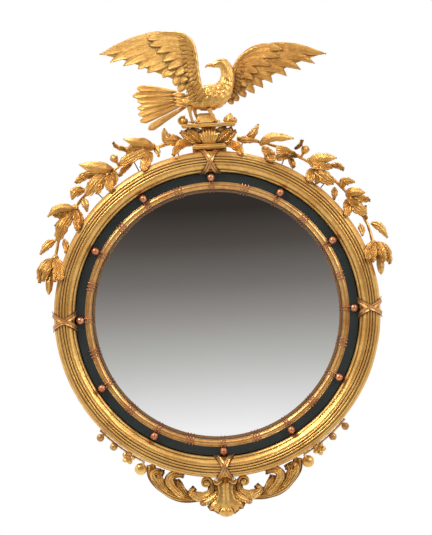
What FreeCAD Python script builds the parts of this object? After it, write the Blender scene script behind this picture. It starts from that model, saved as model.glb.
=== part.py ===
import FreeCAD, Part
import math
import os

import Sketcher
from FreeCAD import Rotation, Vector

# A round convex mirror in a carved and gilded frame: a reeded roll round an ebonised band
# with balls, a spread eagle on a corbel above, lily sprays down both shoulders and an
# acanthus apron below. Millimetres. The origin is the ring's centre on the wall plane,
# +Z is up, and the mirror faces -Y, so a depth from the wall is a distance along -Y.

SIZES = (
    # the ring, by radius and depth
    ("rim_outer_radius", 360),
    ("wall_gap", 8),
    ("carcase_depth", 32),
    ("carcase_inset", 12),
    ("roll_width", 49.4),
    ("roll_height", 40),
    ("roll_side", 9),
    ("reed_count", 7),
    ("reed_crown", 1.6),
    ("band_width", 19.7),
    ("band_depth", 14),
    ("slip_width", 15.4),
    ("slip_side", 14.5),
    ("slip_bead_rise", 5.5),
    ("ring_fit", 0.2),
    # the glass and what holds it
    ("glass_radius", 285),
    ("glass_thickness", 4),
    ("glass_rise", 34),
    ("glass_clearance", 1.5),
    ("felt_thickness", 1),
    ("felt_width", 8),
    ("seat_gap", 0.3),
    ("block_length_angle", 6),
    ("block_width", 7),
    ("block_depth", 10),
    ("board_radius", 300),
    ("board_thickness", 6),
    ("board_clearance", 0.5),
    # balls and ties
    ("ball_radius", 8.35),
    ("ball_sink", 1.6),
    ("peg_radius", 2.5),
    ("peg_length", 14),
    ("peg_fit", 0.05),
    ("tie_angle", 1.1),
    ("tie_rise", 1.2),
    ("collar_angle", 0.7),
    ("collar_spacing_angle", 1.35),
    ("ribbon_width", 9),
    ("ribbon_lift", 1.5),
    ("ribbon_thickness", 1.6),
    ("ribbon_slant", 36),
    # screws and hanging hardware
    ("board_screw_radius", 1.5),
    ("board_screw_head_radius", 3.2),
    ("board_screw_length", 16),
    ("board_screw_edge", 6),
    ("hole_fit", 0.05),
    ("pad_radius", 11),
    ("hanger_angle", 45),
    ("hanger_circle_radius", 322),
    ("strap_width", 16),
    ("strap_thickness", 1.5),
    ("strap_length", 36),
    ("ring_wire_radius", 1.6),
    ("ring_side_gap", 1),
    ("ring_arm", 7),
    ("knuckle_clearance", 0.3),
    ("hanger_screw_radius", 1.7),
    ("hanger_screw_head_radius", 3),
    ("hanger_screw_head_height", 1.4),
    ("hanger_screw_length", 15),
    ("hanger_screw_drop", 8.5),
    ("hanger_screw_pitch", 20),
    ("iron_width", 24),
    ("iron_thickness", 2.5),
    # the crest under the bird
    ("plinth_half_width", 38),
    ("plinth_top_rise", 15),
    ("plinth_depth", 56),
    ("plinth_overlap", 30),
    ("corbel_rise", 37),
    ("corbel_foot_half_width", 16),
    ("corbel_head_half_width", 24),
    ("corbel_depth", 50),
    ("ledge_half_width", 60),
    ("ledge_depth", 58),
    ("ledge_thickness", 8),
    ("ledge_round", 3),
    ("mound_height", 23),
    ("mound_depth", 42),
    ("perch_dowel_radius", 4),
    ("perch_dowel_rise", 48),
    # the bird
    ("bird_depth", 42),
    ("bird_flatness", 0.8),
    ("near_wing_reach", 214),
    ("far_wing_reach", 224),
    ("wing_sweep_angle", 10),
    ("feather_thickness", 5),
    ("covert_thickness", 5),
    ("wing_bone_width", 8),
    ("wing_edge_step", 1),
    ("tail_root", 50),
    ("tail_reach", 115),
    ("tail_thickness", 6),
    ("leg_radius", 3.4),
    ("toe_radius", 2.2),
    # the sprays
    ("stem_radius", 3),
    ("stem_offset", 31),
    ("stem_depth", 30),
    ("pin_radius", 1.2),
    ("pin_hold", 10),
    ("leaf_thickness", 5),
    ("petal_thickness", 5.5),
    ("calyx_radius", 9),
    ("bud_radius", 8.5),
    # the apron
    ("scroll_thickness", 18),
    ("scroll_depth", 27),
    ("volute_radius", 11),
    ("cartouche_depth", 30),
    ("cartouche_boss", 8),
    ("twig_radius", 2.2),
    ("twig_depth", 45),
    ("berry_radius", 9),
    ("apron_ball_radius", 14),
)

BALL_COUNT = 12

doc = FreeCAD.newDocument("convex_mirror")
sheet = doc.addObject("Spreadsheet::Sheet", "Sizes")
for row, (alias, number) in enumerate(SIZES, start=1):
    sheet.set(f"A{row}", alias)
    sheet.set(f"B{row}", str(number))
    sheet.setAlias(f"B{row}", alias)
doc.recompute()


class Dim:
    """A size with its number and the sheet expression that gives it."""

    def __init__(self, value, text):
        self.value = float(value)
        self.text = text

    def __add__(self, other):
        other = dim(other)
        return Dim(self.value + other.value, f"({self.text} + {other.text})")

    def __sub__(self, other):
        other = dim(other)
        return Dim(self.value - other.value, f"({self.text} - {other.text})")

    def __mul__(self, other):
        other = dim(other)
        return Dim(self.value * other.value, f"({self.text} * {other.text})")

    def __truediv__(self, other):
        other = dim(other)
        return Dim(self.value / other.value, f"({self.text} / {other.text})")

    def root(self):
        """The square root."""
        return Dim(math.sqrt(self.value), f"sqrt({self.text})")

    __radd__ = __add__
    __rmul__ = __mul__

    def __rsub__(self, other):
        return dim(other) - self


def dim(number):
    """A plain number as a Dim; a Dim stays as it is."""
    return number if isinstance(number, Dim) else Dim(number, repr(float(number)))


def size(alias):
    """The Dim of a cell of the sheet."""
    return Dim(sheet.get(alias), "Sizes." + alias)


def mm(alias):
    """The number in a cell of the sheet."""
    return float(sheet.get(alias))


# Places that follow from the sizes: radii from the ring's axis, depths from the wall.
rim = size("rim_outer_radius")
back = size("wall_gap")
seat = back + size("carcase_depth")
carcase_outer = rim - size("carcase_inset")
roll_inner = rim - size("roll_width")
band_inner = roll_inner - size("band_width")
sight = band_inner - size("slip_width")
band_front = seat + size("band_depth")
band_outer = roll_inner - size("reed_crown") / 2 - size("ring_fit")
ball_circle = (roll_inner + band_inner) / 2
glass_bore = size("glass_radius") + size("glass_clearance")
board_bore = size("board_radius") + size("board_clearance")
board_front = back + size("board_thickness")
screw_circle = size("board_radius") - size("board_screw_edge")
plinth_top = rim + size("plinth_top_rise")
corbel_top = plinth_top + size("corbel_rise")
ledge_top = corbel_top + size("ledge_thickness")

nodes = []
settled = []


def keep(obj, label, cuts_later=False):
    """Name an object as one of the pieces; later carvings may be cut clear of it."""
    obj.Label = label
    doc.recompute()
    nodes.append(obj)
    if cuts_later:
        settled.append(obj.Shape)
    return obj


def bind(obj, **sizes):
    """Tie properties of an object to sizes."""
    for name, value in sizes.items():
        obj.setExpression(name, dim(value).text)


def set_place(obj, x=0, depth=0, z=0, rotation=None):
    """Place an object at x, a depth from the wall, and z."""
    if rotation is not None:
        obj.Placement = FreeCAD.Placement(Vector(0, 0, 0), rotation)
    obj.setExpression("Placement.Base.x", dim(x).text)
    obj.setExpression("Placement.Base.y", (dim(0) - dim(depth)).text)
    obj.setExpression("Placement.Base.z", dim(z).text)


def origin_feature(body, role):
    """An origin plane or axis of a body."""
    return next(item for item in body.Origin.OriginFeatures if item.Role == role)


# ---- turned pieces: sketches of radius and depth, revolved about the ring's axis


def arc_between(start, end, bulge):
    """An arc from start to end whose middle stands a distance bulge to the left of the way."""
    middle = (start + end) * 0.5
    way = (end - start).normalize()
    return Part.Arc(start, middle + Vector(-way.y, way.x, 0) * bulge, end)


def draw_section(sketch, corners):
    """Close a section from corners of (radius, depth, bulge to the next corner or None)."""
    points = [Vector(radius.value, -depth.value, 0) for radius, depth, bulge in corners]
    count = len(corners)
    ends = []
    for index, (radius, depth, bulge) in enumerate(corners):
        start = points[index]
        end = points[(index + 1) % count]
        clockwise = bulge is not None and bulge.value > 0
        ends.append((2, 1) if clockwise else (1, 2))
        if bulge is None:
            sketch.addGeometry(Part.LineSegment(start, end), False)
        elif clockwise:
            sketch.addGeometry(arc_between(end, start, -bulge.value), False)
        else:
            sketch.addGeometry(arc_between(start, end, bulge.value), False)
    for index in range(count):
        follower = (index + 1) % count
        sketch.addConstraint(Sketcher.Constraint(
            "Coincident", index, ends[index][1], follower, ends[follower][0]))
    for index, (radius, depth, bulge) in enumerate(corners):
        point = ends[index][0]
        across = sketch.addConstraint(
            Sketcher.Constraint("DistanceX", -1, 1, index, point, radius.value))
        sketch.setExpression(f"Constraints[{across}]", radius.text)
        down = sketch.addConstraint(
            Sketcher.Constraint("DistanceY", index, point, -1, 1, depth.value))
        sketch.setExpression(f"Constraints[{down}]", depth.text)
        if bulge is not None:
            reach_x = corners[(index + 1) % count][0] - radius
            reach_y = corners[(index + 1) % count][1] - depth
            chord_square = reach_x * reach_x + reach_y * reach_y
            bend = (chord_square / 4 + bulge * bulge) / (bulge * 2)
            if bulge.value < 0:
                bend = 0 - bend
            curve = sketch.addConstraint(Sketcher.Constraint("Radius", index, bend.value))
            sketch.setExpression(f"Constraints[{curve}]", bend.text)


def turned(name, corners, angle=360, copies=1, axis_radius=None):
    """A body turned from a section about the ring's axis, or about a parallel line, and repeated."""
    body = doc.addObject("PartDesign::Body", name)
    body.AllowCompound = True
    sketch = body.newObject("Sketcher::SketchObject", name + "_section")
    sketch.AttachmentSupport = [(origin_feature(body, "XY_Plane"), "")]
    sketch.MapMode = "FlatFace"
    corners = [(dim(radius), dim(depth), None if bulge is None else dim(bulge))
               for radius, depth, bulge in corners]
    draw_section(sketch, corners)
    axis = (sketch, ["V_Axis"])
    if axis_radius is not None:
        line = sketch.addGeometry(Part.LineSegment(
            Vector(axis_radius.value, 0, 0), Vector(axis_radius.value, -1, 0)), True)
        sketch.addConstraint(Sketcher.Constraint("Vertical", line))
        sketch.addConstraint(Sketcher.Constraint("PointOnObject", line, 1, -1))
        sketch.addConstraint(Sketcher.Constraint("DistanceY", line, 2, line, 1, 1.0))
        across = sketch.addConstraint(
            Sketcher.Constraint("DistanceX", -1, 1, line, 1, axis_radius.value))
        sketch.setExpression(f"Constraints[{across}]", axis_radius.text)
        axis = (sketch, ["Axis0"])
    feature = body.newObject("PartDesign::Revolution", name + "_turning")
    feature.Profile = sketch
    feature.ReferenceAxis = axis
    feature.Angle = 360
    if dim(angle).value < 360:
        feature.Midplane = True
        feature.setExpression("Angle", dim(angle).text)
    doc.recompute()
    if copies > 1:
        pattern = body.newObject("PartDesign::PolarPattern", name + "_round")
        pattern.Originals = [feature]
        pattern.Axis = (origin_feature(body, "Y_Axis"), [""])
        pattern.Angle = 360
        pattern.Occurrences = copies
        body.Tip = pattern
        doc.recompute()
    return body


def straight(*corners):
    """Corners joined by straight lines."""
    return [(radius, depth, None) for radius, depth in corners]


def half_step(body, steps=0.5):
    """Turn a ring of copies by part of its spacing."""
    body.Placement = FreeCAD.Placement(Vector(0, 0, 0), Rotation(Vector(0, 1, 0), steps * 360 / BALL_COUNT))


# ---- Part primitives


def block(name, x_low, x_high, depth_low, depth_high, z_low, z_high):
    """A box between two planes each way, its depths counted from the wall."""
    solid = doc.addObject("Part::Box", name)
    x_low, x_high, z_low, z_high = dim(x_low), dim(x_high), dim(z_low), dim(z_high)
    depth_low, depth_high = dim(depth_low), dim(depth_high)
    bind(solid, Length=x_high - x_low, Width=depth_high - depth_low, Height=z_high - z_low)
    set_place(solid, x_low, depth_high, z_low)
    return solid


def rod_forward(name, radius, x, z, depth_low, depth_high):
    """A cylinder lying front to back."""
    solid = doc.addObject("Part::Cylinder", name)
    bind(solid, Radius=radius, Height=dim(depth_high) - dim(depth_low))
    set_place(solid, x, depth_low, z, Rotation(Vector(1, 0, 0), 90))
    return solid


def rod_radial(name, radius, angle, start, end, depth):
    """A cylinder lying along a spoke of the ring, at an angle from the top."""
    solid = doc.addObject("Part::Cylinder", name)
    bind(solid, Radius=radius, Height=dim(end) - dim(start))
    lean = math.radians(angle)
    set_place(solid, dim(start) * math.sin(lean), depth, dim(start) * math.cos(lean),
              Rotation(Vector(0, 1, 0), angle))
    return solid


def joined(name, members):
    """Several objects as one."""
    union = doc.addObject("Part::MultiFuse", name)
    union.Shapes = members
    doc.recompute()
    return union


def cut_away(name, base, tool):
    """One object less another."""
    result = doc.addObject("Part::Cut", name)
    result.Base = base
    result.Tool = tool
    doc.recompute()
    return result


def gathered(name, members):
    """Separate solids kept together as one set."""
    group = doc.addObject("Part::Compound", name)
    group.Links = members
    doc.recompute()
    return group


# ---- carving: free forms set by code


def solids_of(shape):
    """The solids of a shape, largest first."""
    return sorted(shape.Solids, key=lambda solid: -solid.Volume)


def trimmed(shape, over_roll):
    """A shape cut clear of the crest, bird, spray and apron so far, its loose chips dropped."""
    near = [other for other in settled if other.BoundBox.intersect(shape.BoundBox)]
    if over_roll:
        near.append(roll_guard())
    if near:
        shape = shape.cut(near)
    return solids_of(shape)[0]


def carve(label, shapes, separate=False, over_roll=False):
    """Carved shapes as one joined piece, or as a set of separate ones, cut clear of the rest."""
    if separate:
        solids = [trimmed(shape, over_roll) for shape in shapes]
        result = Part.makeCompound(solids)
    else:
        whole = shapes[0] if len(shapes) == 1 else shapes[0].multiFuse(shapes[1:])
        result = trimmed(whole, over_roll)
    piece = doc.addObject("Part::Feature", label)
    piece.Shape = result
    return keep(piece, label, cuts_later=True)


def roll_guard():
    """The space that the roll and its reeds fill, which what lies over the roll is cut to."""
    gap = mm("seat_gap") + mm("reed_crown") / 2
    half = mm("roll_width") / 2
    middle = mm("rim_outer_radius") - half
    shoulder = -(seat + size("roll_side")).value
    side = half + gap
    corners = [Vector(middle + side * x, shoulder - (mm("roll_height") - mm("roll_side") + gap) * y, 0)
               for x, y in ((-1, 0), (-0.7071, 0.7071), (0, 1), (0.7071, 0.7071), (1, 0))]
    low = Vector(0, -seat.value - shoulder, 0)
    edges = [Part.Arc(*corners[:3]).toShape(), Part.Arc(*corners[2:]).toShape()]
    edges += line_edges([corners[-1], corners[-1] + low, corners[0] + low, corners[0]])
    return Part.Face(Part.Wire(edges)).revolve(Vector(0, 0, 0), Vector(0, 1, 0), 360)


def rim_point(angle, out, depth):
    """A point at an angle from the top, clockwise from the front, a distance outside the rim."""
    radius = mm("rim_outer_radius") + out
    lean = math.radians(angle)
    return Vector(radius * math.sin(lean), -depth, radius * math.cos(lean))


def perch_point(x, rise, depth=None):
    """A point by its height above the ledge that the bird stands on."""
    return Vector(x, -(mm("bird_depth") if depth is None else depth), ledge_top.value + rise)


def foot_point(x, drop, depth=0):
    """A point by its distance below the lowest point of the rim."""
    return Vector(x, -depth, -mm("rim_outer_radius") - drop)


def lens(centre, way, width, thickness):
    """A pointed oval section square to a way, its flat side to the front and back."""
    across = way.cross(Vector(0, -1, 0)).normalize()
    front = across.cross(way).normalize()
    left = centre - across * (width / 2)
    right = centre + across * (width / 2)
    return Part.Wire([
        Part.Arc(left, centre + front * (thickness * 0.5), right).toShape(),
        Part.Arc(right, centre - front * (thickness * 0.5), left).toShape(),
    ])


def blade(points, widths, thickness):
    """A leaf or petal: pointed ovals lofted along a smooth line through points."""
    line = Part.BSplineCurve()
    line.interpolate(points)
    first, last = line.FirstParameter, line.LastParameter
    stations = len(widths)
    sections = []
    for index, width in enumerate(widths):
        at = first + (last - first) * index / (stations - 1)
        way = line.tangent(at)[0]
        depth_here = thickness * (0.45 + 0.55 * min(1.0, width / max(widths)))
        sections.append(lens(line.value(at), way, width, min(depth_here, width * 0.8)))
    return Part.makeLoft(sections, True, False)


def petal(root, tip, width, thickness, arch):
    """A petal from root to tip that arches forward between them."""
    middle = (root + tip) * 0.5 + Vector(0, -arch, 0)
    return blade([root, middle, tip], [width * 0.45, width * 0.92, width, width * 0.7, width * 0.16],
                 thickness)


def ball(centre, radius):
    """A ball."""
    return Part.makeSphere(radius, centre)


def rod(start, end, radius, end_radius=None):
    """A round bar between two points, tapered where an end radius is given."""
    way = end - start
    if end_radius is None or end_radius == radius:
        return Part.makeCylinder(radius, way.Length, start, way)
    return Part.makeCone(radius, end_radius, way.Length, start, way)


def bent_rod(points, radius):
    """A round bar along the arc through three points."""
    path = Part.Wire([Part.Arc(*points).toShape()])
    way = path.Edges[0].tangentAt(path.Edges[0].FirstParameter)
    ring = Part.Wire([Part.Circle(points[0], way, radius).toShape()])
    return path.makePipeShell([ring], True, False)


def plate(edges, thickness):
    """A flat board from edges in a plane that faces front, thickened towards the front."""
    return Part.Face(Part.Wire(edges)).extrude(Vector(0, -thickness, 0))


def line_edges(points):
    """Straight edges through points in order."""
    return [Part.makeLine(start, end) for start, end in zip(points, points[1:])]


def spline_edge(points):
    """One smooth edge through points."""
    curve = Part.BSplineCurve()
    curve.interpolate(points)
    return curve.toShape()


# ---- the ring


def roll_section():
    """The reeded roll's section: a half oval of reeds on straight sides."""
    half = size("roll_width") / 2
    centre = roll_inner + half
    shoulder = seat + size("roll_side")
    crown = size("roll_height") - size("roll_side")
    reeds = int(mm("reed_count"))
    corners = [(roll_inner, seat, None)]
    for index in range(reeds + 1):
        turn = math.pi * (1 - index / reeds)
        corners.append((centre + half * math.cos(turn), shoulder + crown * math.sin(turn),
                        size("reed_crown") * -1 if index < reeds else None))
    corners.append((rim, seat, None))
    return corners


def slip_section(rise=0):
    """The gilt slip's section: two beads side by side on a straight-sided strip."""
    middle = sight + size("slip_width") / 2
    outer = band_inner - size("ring_fit")
    shoulder = seat + size("slip_side")
    bead = size("slip_bead_rise")
    return [
        (sight - rise, seat, None),
        (sight - rise, shoulder + rise, bead * -0.4),
        (middle, shoulder + bead * 0.6 + rise, bead * -0.4),
        (outer + rise, shoulder + rise, None),
        (outer + rise, seat, None),
    ]


def build_ring():
    """The roll, the band, the slip and the balls with their pegs."""
    keep(turned("roll_turning", roll_section()), "reeded_roll")

    peg_foot = band_front - size("peg_length") / 2
    peg_tip = band_front + size("peg_length") / 2
    bore = size("peg_radius") + size("peg_fit")
    flat = turned("band_turning", straight(
        (band_inner, seat), (band_outer, seat), (band_outer, band_front), (band_inner, band_front)))
    bores = turned("ball_peg_bores", straight(
        (ball_circle, peg_foot), (ball_circle + bore, peg_foot),
        (ball_circle + bore, band_front + 1), (ball_circle, band_front + 1)),
        copies=BALL_COUNT, axis_radius=ball_circle)
    keep(cut_away("band_bored", flat, bores), "ebonised_band")
    keep(turned("slip_turning", slip_section()), "gilt_slip")

    keep(turned("ball_pegs_turning", straight(
        (ball_circle, peg_foot), (ball_circle + size("peg_radius"), peg_foot),
        (ball_circle + size("peg_radius"), peg_tip), (ball_circle, peg_tip)),
        copies=BALL_COUNT, axis_radius=ball_circle), "ball_pegs")
    ball_radius = size("ball_radius")
    sink = size("ball_sink")
    flat_radius = (sink * (ball_radius * 2 - sink)).root()
    poll = band_front + ball_radius * 2 - sink
    half_chord = ((poll - band_front) * (poll - band_front) + flat_radius * flat_radius) / 4
    bulge = ball_radius - (ball_radius * ball_radius - half_chord).root()
    keep(turned("gilt_balls_turning", [
        (ball_circle + bore, band_front, None),
        (ball_circle + flat_radius, band_front, bulge),
        (ball_circle, poll, None),
        (ball_circle, peg_tip + size("peg_fit"), None),
        (ball_circle + bore, peg_tip + size("peg_fit"), None)],
        copies=BALL_COUNT, axis_radius=ball_circle), "gilt_balls")


def tie_bands(name, angle, turn=None):
    """Thin bands over the slip, one to each ball, that follow its beads."""
    rise = size("tie_rise")
    under = slip_section(size("ring_fit") / 4)[1:-1]
    over = slip_section(rise)[1:-1]
    outer = under[-1][0]
    foot = seat + size("seat_gap")
    corners = [(over[0][0], foot, None), over[0], over[1], (outer, over[2][1], None),
               (outer, under[2][1], under[1][2] * -1), (under[1][0], under[1][1], under[0][2] * -1),
               (under[0][0], under[0][1], None), (under[0][0], foot, None)]
    ring = turned(name, corners, angle=size(angle), copies=BALL_COUNT)
    if turn is not None:
        ring.Placement = FreeCAD.Placement(Vector(0, 0, 0), Rotation(Vector(0, 1, 0), turn.value))
    return ring


def build_slip_ties():
    """The single ties beside the balls, and the triple collars half way between them."""
    keep(tie_bands("slip_ties_turning", "tie_angle"), "slip_ball_ties")
    spread = size("collar_spacing_angle")
    collars = [tie_bands(f"slip_collar_{place + 1}", "collar_angle",
                         spread * place + 180 / BALL_COUNT) for place in (-1, 0, 1)]
    keep(gathered("slip_collar_set", collars), "slip_collars")


RIBBON_FUSE_TOLERANCE = 0.01


def ribbon_bow():
    """How far the roll's edge curves away under a slanted ribbon's foot."""
    slant = math.radians(mm("ribbon_slant"))
    foot = mm("roll_width") / 2 * math.tan(slant) + mm("ribbon_width") / 2 / math.cos(slant)
    return foot * foot / (2 * roll_inner.value)


def build_ribbons():
    """Crossed ribbons over the roll at the top, the bottom and both sides."""
    lift = mm("ribbon_lift")
    thick = mm("ribbon_thickness")
    width = mm("ribbon_width")
    low = (band_front + size("seat_gap")).value
    shoulder = (seat + size("roll_side")).value
    crown = mm("roll_height") - mm("roll_side")
    slant = mm("ribbon_slant")
    lengthen = 1 / math.cos(math.radians(slant))
    half = (mm("roll_width") + ribbon_bow() + width * math.sin(math.radians(slant))) / 2
    middle = rim.value - (mm("roll_width") + ribbon_bow()) / 2
    crosses = []
    for quarter in range(4):
        strips = []
        for side in (-1, 1):
            arches = []
            for rise in (lift, lift + thick):
                side_end = Vector((half + rise) * lengthen, -shoulder, 0)
                crown_end = Vector(0, -shoulder - crown - rise, 0)
                major, minor = sorted((side_end, crown_end), reverse=True,
                                      key=lambda end: end.distanceToPoint(Vector(0, -shoulder, 0)))
                oval = Part.Ellipse(major, minor, Vector(0, -shoulder, 0)).toShape()
                arches.append(Part.Face(Part.Wire([oval])).extrude(Vector(0, 0, width)))
            strip = arches[1].cut(arches[0])
            span = mm("roll_width") * 2
            strip = strip.common(Part.makeBox(span * 2, span, width, Vector(-span, -low - span, 0)))
            strip.translate(Vector(0, 0, -width / 2))
            strip.rotate(Vector(0, 0, 0), Vector(0, 1, 0), 90 + side * slant)
            strips.append(strip)
        cross = strips[0].fuse(strips[1], RIBBON_FUSE_TOLERANCE)
        cross.translate(Vector(0, 0, middle))
        cross.rotate(Vector(0, 0, 0), Vector(0, 1, 0), quarter * 90)
        crosses.append(solids_of(cross)[0])
    ribbons = doc.addObject("Part::Feature", "ribbon_set")
    ribbons.Shape = Part.makeCompound(crosses)
    keep(ribbons, "ribbon_crosses")


def glass_depth(radius, thickness=0):
    """The depth of the glass's front, or of its back, at a radius from the ring's axis."""
    rise = size("glass_rise")
    edge = size("glass_radius")
    sphere = (edge * edge + rise * rise) / (rise * 2)
    touch = edge - size("felt_width")
    touch_depth = seat - size("felt_thickness") - size("seat_gap")
    centre = touch_depth - (sphere * sphere - touch * touch).root()
    shell = sphere - thickness
    return centre + (shell * shell - radius * radius).root(), shell


def build_glass():
    """The convex plate, the felt before its edge, the blocks behind it and the backboard."""
    edge = size("glass_radius")
    thick = size("glass_thickness")
    front_edge, front_sphere = glass_depth(edge)
    back_edge, back_sphere = glass_depth(edge, thick)
    front_poll, _ = glass_depth(dim(0))
    back_poll, _ = glass_depth(dim(0), thick)
    keep(turned("glass_turning", [
        (edge, back_edge, None),
        (edge, front_edge, arc_rise(edge, front_edge - front_poll, front_sphere)),
        (dim(0), front_poll, None),
        (dim(0), back_poll, arc_rise(edge, back_edge - back_poll, back_sphere) * -1)]),
        "convex_glass")
    felt_inner = edge - size("felt_width")
    felt_back = seat - size("felt_thickness")
    keep(turned("felt_turning", straight(
        (felt_inner, felt_back), (edge, felt_back), (edge, seat), (felt_inner, seat))),
        "rebate_felt")
    block_front = back_edge - size("seat_gap")
    block_back = block_front - size("block_depth")
    keep(turned("glazing_blocks_turning", straight(
        (glass_bore - size("block_width"), block_back), (glass_bore, block_back),
        (glass_bore, block_front), (glass_bore - size("block_width"), block_front)),
        angle=size("block_length_angle"), copies=BALL_COUNT), "glazing_blocks")


def arc_rise(half_width, drop, sphere):
    """The rise of the arc from the edge to the pole of a cap of a sphere."""
    half_chord = (half_width * half_width + drop * drop) / 4
    return sphere - (sphere * sphere - half_chord).root()


def backboard_screws(name, fit):
    """The ring of countersunk screws that hold the backboard, or the holes for them."""
    shank = size("board_screw_radius") + fit
    head = size("board_screw_head_radius") + fit
    cone = size("board_screw_head_radius") - size("board_screw_radius")
    tip = back + size("board_screw_length") + fit
    ring = turned(name, straight(
        (screw_circle, back), (screw_circle + head, back), (screw_circle + shank, back + cone),
        (screw_circle + shank, tip), (screw_circle, tip)), copies=BALL_COUNT,
        axis_radius=screw_circle)
    half_step(ring)
    return ring


# ---- hanging hardware on the back


def hanger_place():
    """The x and the height of the right-hand hanger's hinge."""
    lean = math.radians(mm("hanger_angle"))
    x = size("hanger_circle_radius") * math.sin(lean)
    z = size("hanger_circle_radius") * math.cos(lean) + size("strap_length") / 2
    return x, z


def hinge_depth():
    """The depth of the hangers' hinge line from the wall."""
    return back - size("strap_thickness") - size("knuckle_clearance") - size("ring_wire_radius")


def hanger_screw_spots():
    """The x and height of each hanger screw."""
    x, z = hanger_place()
    first = z - size("hanger_screw_drop")
    second = first - size("hanger_screw_pitch")
    return [(x * side, height) for side in (-1, 1) for height in (first, second)]


def hanger_screw_holes(name, fit, length):
    """Straight holes for the hanger screws, from the straps into the carcase."""
    return [rod_forward(f"{name}_{index}", size("hanger_screw_radius") + fit, x, z,
                        back - size("strap_thickness") - 1, length)
            for index, (x, z) in enumerate(hanger_screw_spots())]


def build_hangers():
    """A strap and a D ring at each side, and the screws that hold the straps."""
    x_right, z_hinge = hanger_place()
    axis_depth = hinge_depth()
    eye = size("ring_wire_radius") + size("knuckle_clearance")
    outer = eye + size("strap_thickness")
    half = size("strap_width") / 2
    wire = size("ring_wire_radius")
    for side, word in ((-1, "left"), (1, "right")):
        x = x_right * side
        leaf = block(f"strap_leaf_{word}", x - half, x + half, back - size("strap_thickness"), back,
                     z_hinge - size("strap_length"), z_hinge)
        turns = []
        for radius, text in ((outer, "outer"), (eye, "eye")):
            turn = doc.addObject("Part::Cylinder", f"knuckle_{text}_{word}")
            bind(turn, Radius=radius, Height=half * 2)
            set_place(turn, x - half, axis_depth, z_hinge, Rotation(Vector(0, 1, 0), 90))
            turns.append(turn)
        holes = [rod_forward(f"strap_hole_{word}_{index}",
                             size("hanger_screw_radius") + size("hole_fit"), x, z,
                             back - size("strap_thickness") - 1, back + 1)
                 for index, (_, z) in enumerate(hanger_screw_spots()[:2])]
        strap = cut_away(f"strap_cut_{word}", joined(f"strap_joined_{word}", [leaf, turns[0]]),
                         joined(f"strap_tools_{word}", [turns[1]] + holes))
        keep(strap, f"hanger_strap_{word}")

        reach = (half + size("ring_side_gap") + wire).value
        bend = reach
        drop = mm("ring_arm")
        corners = [Vector(-reach, 0, 0), Vector(-reach, 0, -drop), Vector(reach, 0, -drop),
                   Vector(reach, 0, 0)]
        low = Vector(0, 0, -drop - bend)
        path = Part.Wire([Part.makeLine(corners[0], corners[1]),
                          Part.Arc(corners[1], low, corners[2]).toShape(),
                          Part.makeLine(corners[2], corners[3])])
        section = Part.Wire([Part.Circle(corners[0], Vector(0, 0, -1), wire.value).toShape()])
        loop = path.makePipeShell([section], True, False)
        bar = rod(corners[0], corners[3], wire.value)
        ends = [ball(corners[0], wire.value), ball(corners[3], wire.value)]
        ring = doc.addObject("Part::Feature", f"d_ring_{word}")
        ring.Shape = solids_of(loop.multiFuse([bar] + ends))[0]
        set_place(ring, x, axis_depth, z_hinge)
        keep(ring, f"d_ring_{word}")

    screws = []
    for index, (x, z) in enumerate(hanger_screw_spots()):
        top = back - size("strap_thickness")
        shank = rod_forward(f"hanger_shank_{index}", size("hanger_screw_radius"), x, z, top,
                            top + size("hanger_screw_length"))
        head = rod_forward(f"hanger_head_{index}", size("hanger_screw_head_radius"), x, z,
                           top - size("hanger_screw_head_height"), top)
        screws.append(joined(f"hanger_screw_{index}", [shank, head]))
    keep(gathered("hanger_screw_set", screws), "hanger_screws")


def iron_spots():
    """The height and the way (up or down) of each screw in the two iron straps at the back."""
    into_ring = carcase_outer - 12
    further = carcase_outer - 30
    return [into_ring, further, plinth_top - 14, plinth_top + 14,
            into_ring * -1, further * -1, rim * -1 - 16, rim * -1 - 40]


def build_irons():
    """The iron straps that tie the crest and the apron to the ring, and their screws."""
    half = size("iron_width") / 2
    top = back - size("iron_thickness")
    spots = iron_spots()
    for word, low, high, heights in (
            ("crest", carcase_outer - 42, corbel_top, spots[:4]),
            ("apron", rim * -1 - 52, carcase_outer * -1 + 42, spots[4:])):
        bar = block(f"iron_bar_{word}", half * -1, half, top, back, low, high)
        holes = [rod_forward(f"iron_hole_{word}_{index}",
                             size("board_screw_radius") + size("hole_fit"), 0, z, top - 1, back + 1)
                 for index, z in enumerate(heights)]
        keep(cut_away(f"iron_cut_{word}", bar, joined(f"iron_holes_{word}", holes)),
             f"{word}_iron_strap", cuts_later=True)
    screws = []
    for index, z in enumerate(spots):
        shank = rod_forward(f"iron_shank_{index}", size("board_screw_radius"), 0, z, top,
                            top + size("board_screw_length"))
        head = rod_forward(f"iron_head_{index}", size("board_screw_head_radius"), 0, z,
                           top - size("hanger_screw_head_height"), top)
        screws.append(joined(f"iron_screw_{index}", [shank, head]))
    keep(gathered("iron_screw_set", screws), "iron_strap_screws")


def iron_screw_holes(name, spots):
    """Holes for the iron straps' screws in the wood behind them."""
    return [rod_forward(f"{name}_{index}", size("board_screw_radius") + size("hole_fit"), 0, z,
                        back - 1, back + size("board_screw_length"))
            for index, z in enumerate(spots)]


PIN_ANGLES = (11, 26, 42)


def build_pins():
    """The wires that tie the sprays' stems to the carcase's edge."""
    pins = []
    for side in (-1, 1):
        for angle in PIN_ANGLES:
            pins.append(rod_radial(f"pin_{side + 1}_{angle}", size("pin_radius"), side * angle,
                                   carcase_outer - size("pin_hold"),
                                   rim + size("stem_offset") - size("stem_radius") - size("seat_gap"),
                                   size("stem_depth")))
    return keep(gathered("pin_set", pins), "spray_pins", cuts_later=True)


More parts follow.
